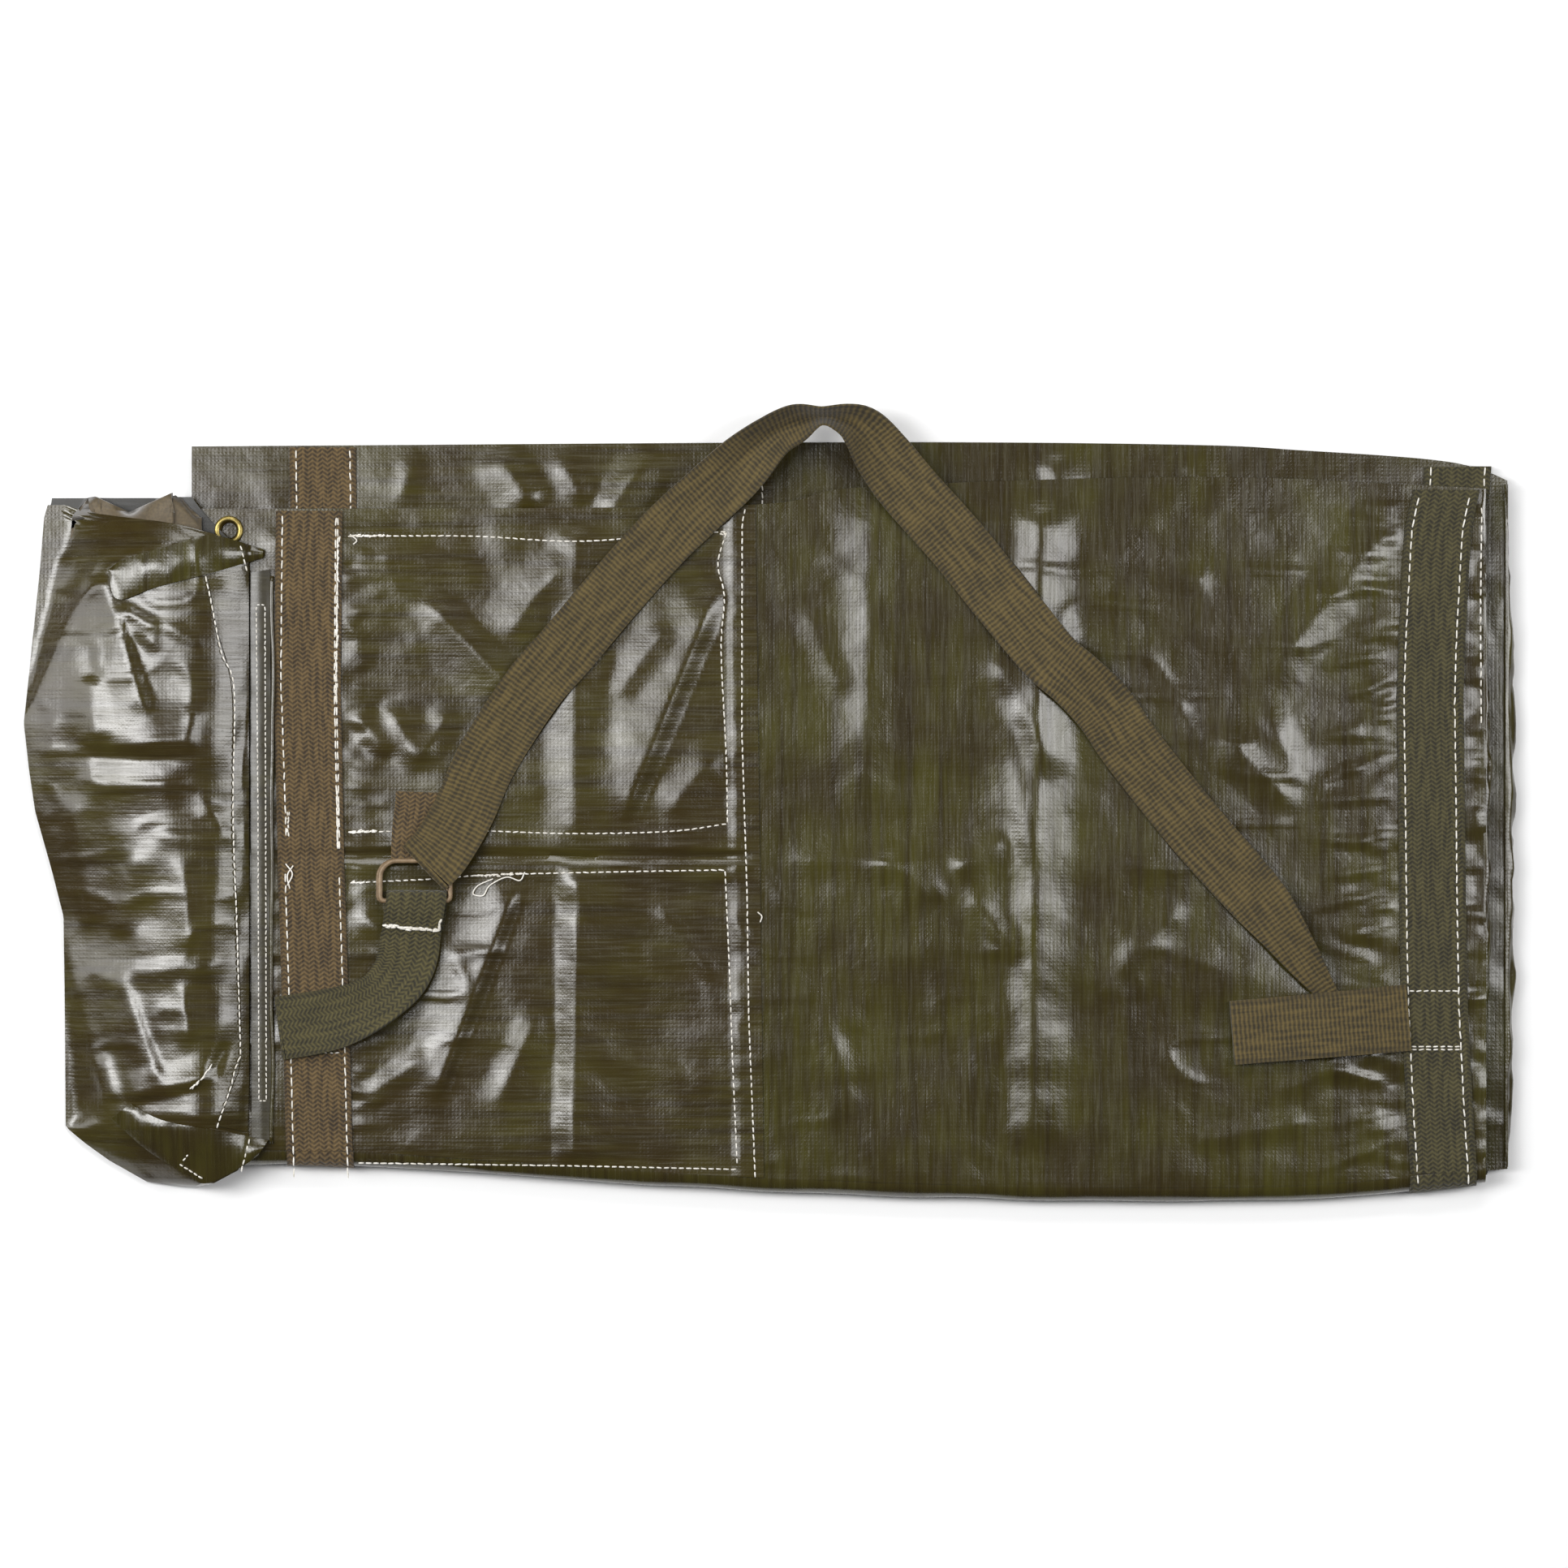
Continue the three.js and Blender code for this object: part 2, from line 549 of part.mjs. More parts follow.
// One D-ring, flat, with rounded edges: a straight bar, and a bow that faces the shoulder strap.
function dRing(level) {
  const ROUNDING = RING_WIRE / 3;
  const loop = (grow) => {
    const half = (RING_INSIDE + RING_WIRE) / 2 + grow;
    const bar = barY - grow;
    const bow = bowY + grow;
    const small = Math.max(2 + grow, 0.5);
    const large = 8 + grow;
    return [
      ...arc(ringX - half + small, bar + small, small, 180, 270, 4),
      ...arc(ringX + half - small, bar + small, small, 270, 360, 4),
      ...arc(ringX + half - large, bow - large, large, 0, 90, 6),
      ...arc(ringX - half + large, bow - large, large, 90, 180, 6),
    ];
  };
  const shape = new THREE.Shape(points(loop(RING_WIRE / 2 - ROUNDING)));
  shape.holes.push(new THREE.Path(points(loop(ROUNDING - RING_WIRE / 2))));
  const geometry = new THREE.ExtrudeGeometry(shape, {
    depth: RING_WIRE - 2 * ROUNDING,
    bevelThickness: ROUNDING,
    bevelSize: ROUNDING,
    bevelSegments: 2,
  });
  return geometry.translate(0, 0, level + ROUNDING);
}
add(carryStrap, 'back_d_ring', 'ring', dRing(backRingLevel));
add(carryStrap, 'front_d_ring', 'ring', dRing(frontRingLevel));

// The ring strap: its own end, round the two bars, over itself, and down to the pack.
const loopBottom = faceLevel + WEBBING / 2;
const loopTop = frontRingMid + wrapRadius;
const loopY = barY + RING_WIRE / 2;
const ringStrapLine = [
  [barY - 17, loopBottom],
  ...arc(loopY, (loopBottom + loopTop) / 2, (loopTop - loopBottom) / 2, -90, 90, 12),
  [loopY - 6, loopTop],
  [barY - 25, strapMid],
  [liftStart, strapMid],
];
add(carryStrap, 'ring_strap', 'strap', cutTo(alongX(band(ringStrapLine, WEBBING), -FAR, FAR), band([
  [ringX, loopY + 20],
  [ringX, barY - 10],
  [ringX - 7, liftStart],
  [ringX - 8, liftStart - 10],
], STRAP_WIDTH)));
stretcher.add(carryStrap);

// ---- End pocket -----------------------------------------------------------------------------------

const endPocket = new THREE.Group();
const fromMouth = (drop) => 1 - drop / (pocketTop - pocketBottom);
const place = (pairs) => pairs.map(([u, v]) => [pocketX(u), pocketY(v)]);

// The pocket from above: [share of its reach, share of its length from the bottom up].
const pocketOutline = place([
  [0.01, 0.07], [0.06, 0.025], [0.216, 0], [0.467, 0.006], [0.634, 0.039], [0.819, 0.086],
  [0.826, 0.393], [0.948, 0.547], [1, 0.676], [0.983, 0.724], [0.93, 0.9], [0.896, 1],
  [0.704, 0.981], [0.215, fromMouth(18.6)], [0.17, fromMouth(29.3)], [0.01, fromMouth(33.9)],
]);
const skinStart = POCKET_START / POCKET_REACH;
const pocketFloor = faceLevel + CLOTH / 2;
const frontSkin = smooth([
  [skinStart, faceLevel + 2.4], [0.12, POCKET_HEIGHT - 8], [0.3, POCKET_HEIGHT - 1.5],
  [0.5, POCKET_HEIGHT], [0.7, POCKET_HEIGHT - 4], [0.87, POCKET_HEIGHT - 14], [0.97, 12], [0.996, 4],
], 20).map(([u, z]) => [pocketX(u), z]);
const dropX = upper.left - 2.5;
const backSkin = [
  [pocketX(skinStart), pocketFloor],
  [dropX + 2, pocketFloor],
  [dropX, pocketFloor - 2],
  [dropX, 4],
  [dropX - 2.5, 1.4],
  [pocketX(0.9), 1.4],
  [pocketX(0.955), 4],
];
const facingEdge = pocketX(POCKET_FACING / POCKET_REACH);
const facingCut = (from, to) => [[from, -FAR], [to, -FAR], [to, FAR], [from, FAR]];
const skinBand = toSolid(alongY(band(frontSkin, CLOTH), -FAR, FAR)).intersect(
  toSolid(plate(pocketOutline, -FAR, FAR)));

add(endPocket, 'pocket_back', 'cloth', cutTo(alongY(band(backSkin, CLOTH), -FAR, FAR), pocketOutline));
add(endPocket, 'pocket_front', 'cloth',
  skinBand.intersect(toSolid(plate(facingCut(-FAR, facingEdge - CLEARANCE), -FAR, FAR))));
add(endPocket, 'pocket_facing', 'cloth',
  skinBand.intersect(toSolid(plate(facingCut(facingEdge, FAR), -FAR, FAR))));

const gussetLine = frontSkin.map(([x, z]) => [x, z + CLOTH + 2 * CLEARANCE]);
const gussetSkin = alongY(band(gussetLine, CLOTH), -FAR, FAR);
add(endPocket, 'pocket_upper_gusset', 'cloth', cutTo(gussetSkin, place([
  [0.564, fromMouth(35.9)], [0.5, fromMouth(44.6)], [0.02, fromMouth(35.9)],
  [0.02, fromMouth(32.2)], [0.16, fromMouth(28.9)], [0.2, fromMouth(24.8)],
])));
add(endPocket, 'pocket_lower_gusset', 'cloth', cutTo(gussetSkin, place([
  [0.606, 0.1], [0.529, 0.122], [0.186, 0.088], [0.02, 0.071], [0.06, 0.03], [0.21, 0.004], [0.43, 0.045],
])));

// The rolled cover that the pocket holds.
const rollFloor = pocketFloor + CLOTH / 2 + 1.5;
add(endPocket, 'rolled_cover', 'nylon', cutTo(alongY([
  [pocketX(0.12), rollFloor],
  [pocketX(0.13), POCKET_HEIGHT - 10.5],
  [pocketX(0.25), POCKET_HEIGHT - 5],
  [pocketX(0.5), POCKET_HEIGHT - 2],
  [pocketX(0.69), POCKET_HEIGHT - 6],
  [pocketX(0.84), POCKET_HEIGHT - 15],
  [pocketX(0.92), 11],
  [pocketX(0.91), 5],
  [pocketX(0.86), 3.5],
  [dropX - 5, 3.5],
  [dropX - 3, rollFloor - 4],
  [dropX + 4, rollFloor],
], pocketY(0.04), pocketY(0.985)), pocketOutline));
stretcher.add(endPocket);

// The origin is the middle of the footprint, on the floor.
const footprint = new THREE.Box3().setFromObject(stretcher);
const middle = footprint.getCenter(new THREE.Vector3());
stretcher.position.set(-middle.x, -middle.y, -footprint.min.z);

export default stretcher;
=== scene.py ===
"""The looks of a soft folding stretcher, folded flat for carrying.

Lengths are in millimetres until a mesh is made. X runs along the pack from its pocket to its cross fold,
Y from the long fold to the free edges, and Z up from the floor.
"""

import logging
import math
from dataclasses import dataclass, field
from enum import Enum
from typing import Callable, Sequence

import bpy
import numpy as np
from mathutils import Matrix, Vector


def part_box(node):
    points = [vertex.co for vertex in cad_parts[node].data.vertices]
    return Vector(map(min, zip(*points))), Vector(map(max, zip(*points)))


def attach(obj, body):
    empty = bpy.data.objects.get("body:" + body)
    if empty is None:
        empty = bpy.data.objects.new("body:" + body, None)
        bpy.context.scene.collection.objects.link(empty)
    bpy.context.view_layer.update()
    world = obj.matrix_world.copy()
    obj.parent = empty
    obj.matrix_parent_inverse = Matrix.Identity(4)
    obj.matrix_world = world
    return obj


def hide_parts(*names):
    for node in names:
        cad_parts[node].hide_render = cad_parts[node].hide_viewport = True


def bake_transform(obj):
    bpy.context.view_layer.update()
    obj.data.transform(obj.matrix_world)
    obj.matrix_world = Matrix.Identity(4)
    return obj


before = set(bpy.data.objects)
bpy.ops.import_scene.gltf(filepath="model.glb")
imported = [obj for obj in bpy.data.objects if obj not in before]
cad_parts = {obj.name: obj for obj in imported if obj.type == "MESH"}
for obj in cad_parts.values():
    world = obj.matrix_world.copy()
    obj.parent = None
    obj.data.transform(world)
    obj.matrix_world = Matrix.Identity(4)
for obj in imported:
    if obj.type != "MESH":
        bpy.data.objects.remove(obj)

MM = 0.001
LOG = logging.getLogger("stretcher")

Array = np.ndarray
Height = Callable[[Array, Array], Array]
Point = tuple[float, float]


# ---- Numbers and lines ----


def rise(start: float, end: float, value: Array) -> Array:
    """Goes smoothly from 0 at start to 1 at end.

    Args:
        start: Where the rise begins.
        end: Where it is complete.
        value: The values to place on it.

    Returns:
        A number from 0 to 1 for each value.
    """
    share = np.clip((np.asarray(value, float) - start) / (end - start), 0.0, 1.0)
    return share * share * (3.0 - 2.0 * share)


def soft_noise(x: Array, y: Array, seed: int) -> Array:
    """Smooth random hills one unit across.

    Args:
        x: First coordinate, in hills.
        y: Second coordinate, in hills.
        seed: Picks one field of hills.

    Returns:
        A number from -1 to 1 for each point.
    """
    column, row = np.floor(x).astype(np.int64), np.floor(y).astype(np.int64)
    along, across = x - column, y - row
    along = along**3 * (along * (along * 6 - 15) + 10)
    across = across**3 * (across * (across * 6 - 15) + 10)

    def corner(i: Array, j: Array) -> Array:
        """A fixed random number for each lattice point."""
        mixed = (i * 374761393 + j * 668265263 + seed * 974711) & 0xFFFFFFFF
        mixed = ((mixed ^ (mixed >> 13)) * 1274126177) & 0xFFFFFFFF
        return ((mixed ^ (mixed >> 16)) & 0xFFFF) / 32767.5 - 1.0

    near = corner(column, row) * (1 - along) + corner(column + 1, row) * along
    far = corner(column, row + 1) * (1 - along) + corner(column + 1, row + 1) * along
    return near * (1 - across) + far * across


def smooth_line(points: Sequence[Sequence[float]], steps: int = 8) -> Array:
    """A smooth line through points.

    Args:
        points: The points, in two or three dimensions.
        steps: Points on each stretch between two of them.

    Returns:
        One row for each point of the line.
    """
    given = np.asarray(points, float)
    padded = np.vstack([2 * given[0] - given[1], given, 2 * given[-1] - given[-2]])
    t = np.linspace(0, 1, steps, endpoint=False)[:, None]
    spans = [
        0.5 * (2 * b + (c - a) * t + (2 * a - 5 * b + 4 * c - d) * t**2 + (3 * b - a - 3 * c + d) * t**3)
        for a, b, c, d in zip(padded, padded[1:], padded[2:], padded[3:])
    ]
    return np.vstack([*spans, given[-1:]])


def evenly(line: Array, step: float) -> Array:
    """The same line with points at one spacing.

    Args:
        line: One row for each point.
        step: The spacing to come near to.

    Returns:
        One row for each new point.
    """
    along = np.concatenate([[0.0], np.cumsum(np.linalg.norm(np.diff(line, axis=0), axis=1))])
    places = np.linspace(0, along[-1], max(2, round(along[-1] / step) + 1))
    return np.stack([np.interp(places, along, line[:, k]) for k in range(line.shape[1])], axis=1)


def units(vectors: Array) -> Array:
    """The same directions, each of length one."""
    return vectors / np.maximum(np.linalg.norm(vectors, axis=-1, keepdims=True), 1e-9)


@dataclass(frozen=True)
class Extent:
    """A CAD node's box at rest."""

    low: Array
    high: Array

    @classmethod
    def of(cls, *nodes: str) -> "Extent":
        """The box round one or several nodes."""
        boxes = [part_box(node) for node in nodes]
        low = np.min([np.array(box[0]) for box in boxes], axis=0)
        high = np.max([np.array(box[1]) for box in boxes], axis=0)
        return cls(low / MM, high / MM)


@dataclass(frozen=True)
class Edge:
    """A sheet's edge seen from above, as one Y for each X."""

    line: Array

    @classmethod
    def along(cls, left: float, right: float, base: float, pairs: Sequence[Point]) -> "Edge":
        """An edge from shares of its length.

        Args:
            left: Where the edge starts.
            right: Where it ends.
            base: The Y that the offsets are measured from.
            pairs: Share of the length, and offset from the base.

        Returns:
            The smooth edge.
        """
        points = [(left + share * (right - left), base + offset) for share, offset in pairs]
        return cls(smooth_line(points, 12))

    def at(self, x: Array) -> Array:
        """The edge's Y at each X."""
        return np.interp(x, self.line[:, 0], self.line[:, 1])


@dataclass(frozen=True)
class Crease:
    """A fold line in cloth: a crest with one reach on its left and another on its right."""

    start: Point
    end: Point
    height: float
    left: float
    right: float
    fade: float = 0.2

    def relief(self, x: Array, y: Array) -> Array:
        """How far the crease lifts each point, or sinks it where its height is negative."""
        dx, dy = self.end[0] - self.start[0], self.end[1] - self.start[1]
        length = math.hypot(dx, dy)
        share = ((x - self.start[0]) * dx + (y - self.start[1]) * dy) / length**2
        aside = ((y - self.start[1]) * dx - (x - self.start[0]) * dy) / length
        reach = np.where(aside > 0, self.left, self.right)
        flank = np.clip(1 - np.sqrt((aside / reach) ** 2 + 0.006), 0, 1) ** 1.35
        ends = rise(0, self.fade, share) * rise(0, self.fade, 1 - share)
        return self.height * flank * ends


def total_relief(creases: Sequence[Crease], x: Array, y: Array) -> Array:
    """The sum of all creases at each point."""
    result = np.zeros(np.broadcast(x, y).shape)
    for crease in creases:
        result = result + crease.relief(x, y)
    return result


# ---- Meshes ----


def make_mesh(name: str, vertices: Array, faces: Array, weave: Array | None = None) -> bpy.types.Object:
    """A smooth mesh object from points in millimetres.

    Args:
        name: The piece's name.
        vertices: One row for each point.
        faces: One row of point numbers for each face.
        weave: Across and along the cloth, in millimetres, for each point.

    Returns:
        The linked object.
    """
    mesh = bpy.data.meshes.new(name)
    mesh.from_pydata((np.asarray(vertices) * MM).tolist(), [], np.asarray(faces).tolist())
    if weave is not None:
        layer = mesh.uv_layers.new(name="weave")
        corners = np.zeros(len(mesh.loops), np.int32)
        mesh.loops.foreach_get("vertex_index", corners)
        layer.data.foreach_set("uv", weave[corners].astype(np.float32).ravel())
    mesh.shade_smooth()
    piece = bpy.data.objects.new(name, mesh)
    bpy.context.scene.collection.objects.link(piece)
    return piece


def grid_faces(rows: int, columns: int, start: int = 0) -> Array:
    """The four-sided faces of a grid of points, counted from start."""
    index = np.arange(rows * columns).reshape(rows, columns) + start
    sides = [index[:-1, :-1], index[1:, :-1], index[1:, 1:], index[:-1, 1:]]
    return np.stack([side.ravel() for side in sides], axis=1)


def slab(
    name: str, top: Array, thickness: float, weave: Array | None = None,
    hole: tuple[float, float, float] | None = None,
) -> bpy.types.Object:
    """A closed sheet of even thickness below a grid of points.

    Args:
        name: The piece's name.
        top: Rows by columns by three, the upper face.
        thickness: Of the cloth or webbing.
        weave: Rows by columns by two, across and along the cloth.
        hole: X, Y and radius of a round hole.

    Returns:
        The linked object, with sharp cut edges.
    """
    rows, columns = top.shape[:2]
    count = rows * columns
    normal = units(np.cross(np.gradient(top, axis=0), np.gradient(top, axis=1)))
    bottom = top - normal * thickness
    upper = grid_faces(rows, columns)
    if hole is not None:
        centres = top.reshape(-1, 3)[upper].mean(axis=1)
        upper = upper[np.hypot(centres[:, 0] - hole[0], centres[:, 1] - hole[1]) > hole[2]]
    edges = np.vstack([np.stack([upper[:, k], upper[:, (k + 1) % 4]], axis=1) for k in range(4)])
    key, twin = edges[:, 0] * count + edges[:, 1], edges[:, 1] * count + edges[:, 0]
    near, far = edges[~np.isin(key, twin)].T
    rim = np.stack([near, near + count, far + count, far], axis=1)
    faces = np.vstack([upper, upper[:, ::-1] + count, rim])
    used, faces = np.unique(faces, return_inverse=True)
    faces = faces.reshape(-1, 4)
    points = np.vstack([top.reshape(-1, 3), bottom.reshape(-1, 3)])[used]
    flat = None if weave is None else np.vstack([weave.reshape(-1, 2)] * 2)[used]
    piece = make_mesh(name, points, faces, flat)
    piece.data.set_sharp_from_angle(angle=math.radians(55))
    return piece


def tube(name: str, path: Array, radius: float, sides: int = 10, closed: bool = False) -> bpy.types.Object:
    """A round wire or thread along a path.

    Args:
        name: The piece's name.
        path: One row for each point.
        radius: Of the wire.
        sides: Round its section.
        closed: Whether it runs back to its start.

    Returns:
        The linked object.
    """
    ahead = np.roll(path, -1, axis=0) if closed else np.vstack([path[1:], path[-1:]])
    behind = np.roll(path, 1, axis=0) if closed else np.vstack([path[:1], path[:-1]])
    along = units(ahead - behind)
    side = units(np.cross(np.array([0.0, 0.0, 1.0]) + 1e-4, along))
    up = np.cross(along, side)
    turn = np.linspace(0, 2 * math.pi, sides, endpoint=False)
    offset = side[:, None] * np.cos(turn)[None, :, None] + up[:, None] * np.sin(turn)[None, :, None]
    points = (path[:, None] + radius * offset).reshape(-1, 3)
    rings = len(path)
    faces = []
    for i in range(rings if closed else rings - 1):
        for k in range(sides):
            here, over = i * sides, ((i + 1) % rings) * sides
            faces.append([here + k, here + (k + 1) % sides, over + (k + 1) % sides, over + k])
    if not closed:
        points = np.vstack([points, path[0], path[-1]])
        last = (rings - 1) * sides
        for k in range(sides):
            faces.append([rings * sides, (k + 1) % sides, k, k])
            faces.append([rings * sides + 1, last + k, last + (k + 1) % sides, last + (k + 1) % sides])
    mesh_faces = [list(dict.fromkeys(face)) for face in faces]
    mesh = bpy.data.meshes.new(name)
    mesh.from_pydata((points * MM).tolist(), [], mesh_faces)
    mesh.shade_smooth()
    piece = bpy.data.objects.new(name, mesh)
    bpy.context.scene.collection.objects.link(piece)
    return piece


# ---- Finishes ----


def linear(colour: str) -> tuple[float, float, float, float]:
    """An sRGB hex colour as linear red, green, blue and opacity."""
    shares = [int(colour[i:i + 2], 16) / 255 for i in (1, 3, 5)]
    return (*(s / 12.92 if s <= 0.04045 else ((s + 0.055) / 1.055) ** 2.4 for s in shares), 1.0)


def add_node(
    tree: bpy.types.NodeTree, kind: str, settings: dict | None = None, inputs: dict | None = None
) -> bpy.types.Node:
    """Adds one shader node.

    Args:
        tree: The material's node tree.
        kind: The node's type.
        settings: Its own properties.
        inputs: For each input, the socket that it is linked to or its value.

    Returns:
        The new node.
    """
    node = tree.nodes.new(kind)
    for name, value in (settings or {}).items():
        setattr(node, name, value)
    for name, value in (inputs or {}).items():
        if isinstance(value, bpy.types.NodeSocket):
            tree.links.new(value, node.inputs[name])
        else:
            node.inputs[name].default_value = value
    return node


def start_material(name: str) -> tuple[bpy.types.Material, bpy.types.NodeTree]:
    """An empty material with nodes."""
    material = bpy.data.materials.new(name)
    material.use_nodes = True
    material.node_tree.nodes.clear()
    return material, material.node_tree


def end_material(tree: bpy.types.NodeTree, inputs: dict) -> None:
    """Closes a material with its main shader.

    Args:
        tree: The material's node tree.
        inputs: What the shader's sockets take.
    """
    shader = add_node(tree, "ShaderNodeBsdfPrincipled", inputs=inputs)
    add_node(tree, "ShaderNodeOutputMaterial", inputs={"Surface": shader.outputs[0]})


class Run(Enum):
    """Which way the shiny tapes of a panel run."""

    LENGTHWISE = (1.0, 0.0)
    CROSSWISE = (0.0, 1.0)


@dataclass(frozen=True)
class CoatedCloth:
    """Polyethylene cloth, woven from flat tapes and coated by extrusion: a glossy, streaked, waxy skin."""

    name: str
    run: Run = Run.LENGTHWISE
    ground: str = "#33290F"
    green: str = "#3F3914"
    brown: str = "#261D0A"
    roughness: float = 0.21
    streak_length: float = 34.0
    streak_width: float = 1.3
    weave_pitch: float = 2.3  # real tapes are 1.5 mm wide, and are drawn this coarse so that they show
    patch_size: float = 55.0
    dent_size: float = 13.0

    def build(self) -> bpy.types.Material:
        """The cloth's material, whose patterns lie in the frame's own millimetres."""
        material, tree = start_material(self.name)
        place = add_node(tree, "ShaderNodeTexCoord").outputs["Object"]
        long, short = 1 / (self.streak_length * MM), 1 / (self.streak_width * MM)
        across = self.run is Run.CROSSWISE
        streak_scale = (short, long, 60.0) if across else (long, short, 60.0)
        stretched = add_node(tree, "ShaderNodeMapping", inputs={"Vector": place, "Scale": streak_scale})
        streaks = add_node(tree, "ShaderNodeTexNoise", inputs={
            "Vector": stretched.outputs[0], "Scale": 1.0, "Detail": 3.0, "Roughness": 0.65})
        patches = add_node(tree, "ShaderNodeTexNoise", inputs={
            "Vector": place, "Scale": 1 / (self.patch_size * MM), "Detail": 3.0, "Roughness": 0.6})
        bands = add_node(tree, "ShaderNodeMapping", inputs={
            "Vector": place, "Scale": tuple(s / 3.5 for s in streak_scale)})
        broad = add_node(tree, "ShaderNodeTexNoise", inputs={
            "Vector": bands.outputs[0], "Scale": 1.0, "Detail": 2.0})
        dents = add_node(tree, "ShaderNodeTexNoise", inputs={
            "Vector": place, "Scale": 1 / (self.dent_size * MM), "Detail": 3.0, "Roughness": 0.5})
        weave_scale = math.pi / (self.weave_pitch * MM) / 10
        tapes = [
            add_node(tree, "ShaderNodeTexWave", {"bands_direction": direction}, {
                "Vector": place, "Scale": weave_scale, "Distortion": 0.6, "Detail": 1.0})
            for direction in ("X", "Y")
        ]
        woven = add_node(tree, "ShaderNodeMath", {"operation": "MULTIPLY"}, {
            0: tapes[0].outputs["Fac"], 1: tapes[1].outputs["Fac"]})

        share = add_node(tree, "ShaderNodeMapRange", inputs={
            "Value": patches.outputs["Fac"], "From Min": 0.38, "From Max": 0.66})
        toned = add_node(tree, "ShaderNodeMix", {"data_type": "RGBA"}, {
            "Factor": share.outputs[0], "A": linear(self.ground), "B": linear(self.green)})
        worn = add_node(tree, "ShaderNodeMapRange", inputs={
            "Value": broad.outputs["Fac"], "From Min": 0.42, "From Max": 0.75, "To Max": 0.75})
        darkened = add_node(tree, "ShaderNodeMix", {"data_type": "RGBA"}, {
            "Factor": worn.outputs[0], "A": toned.outputs["Result"], "B": linear(self.brown)})
        light = add_node(tree, "ShaderNodeMapRange", inputs={
            "Value": streaks.outputs["Fac"], "From Min": 0.55, "From Max": 0.8, "To Max": 0.35})
        colour = add_node(tree, "ShaderNodeMix", {"data_type": "RGBA"}, {
            "Factor": light.outputs[0], "A": darkened.outputs["Result"], "B": linear("#4C482A")})
        dulled = add_node(tree, "ShaderNodeMapRange", inputs={
            "Value": streaks.outputs["Fac"], "From Min": 0.3, "From Max": 0.7,
            "To Min": self.roughness - 0.07, "To Max": self.roughness + 0.12})

        bump = add_node(tree, "ShaderNodeBump", inputs={
            "Height": dents.outputs["Fac"], "Strength": 0.6, "Distance": 0.75 * MM})
        bump = add_node(tree, "ShaderNodeBump", inputs={
            "Height": streaks.outputs["Fac"], "Strength": 0.5, "Distance": 0.16 * MM,
            "Normal": bump.outputs[0]})
        bump = add_node(tree, "ShaderNodeBump", inputs={
            "Height": woven.outputs[0], "Strength": 0.35, "Distance": 0.09 * MM, "Normal": bump.outputs[0]})
        end_material(tree, {
            "Base Color": colour.outputs["Result"], "Roughness": dulled.outputs[0], "IOR": 1.51,
            "Coat Weight": 0.35, "Coat Roughness": 0.16, "Normal": bump.outputs[0]})
        return material


class Bind(Enum):
    """How webbing is woven."""

    HERRINGBONE = 1
    RIBBED = 2


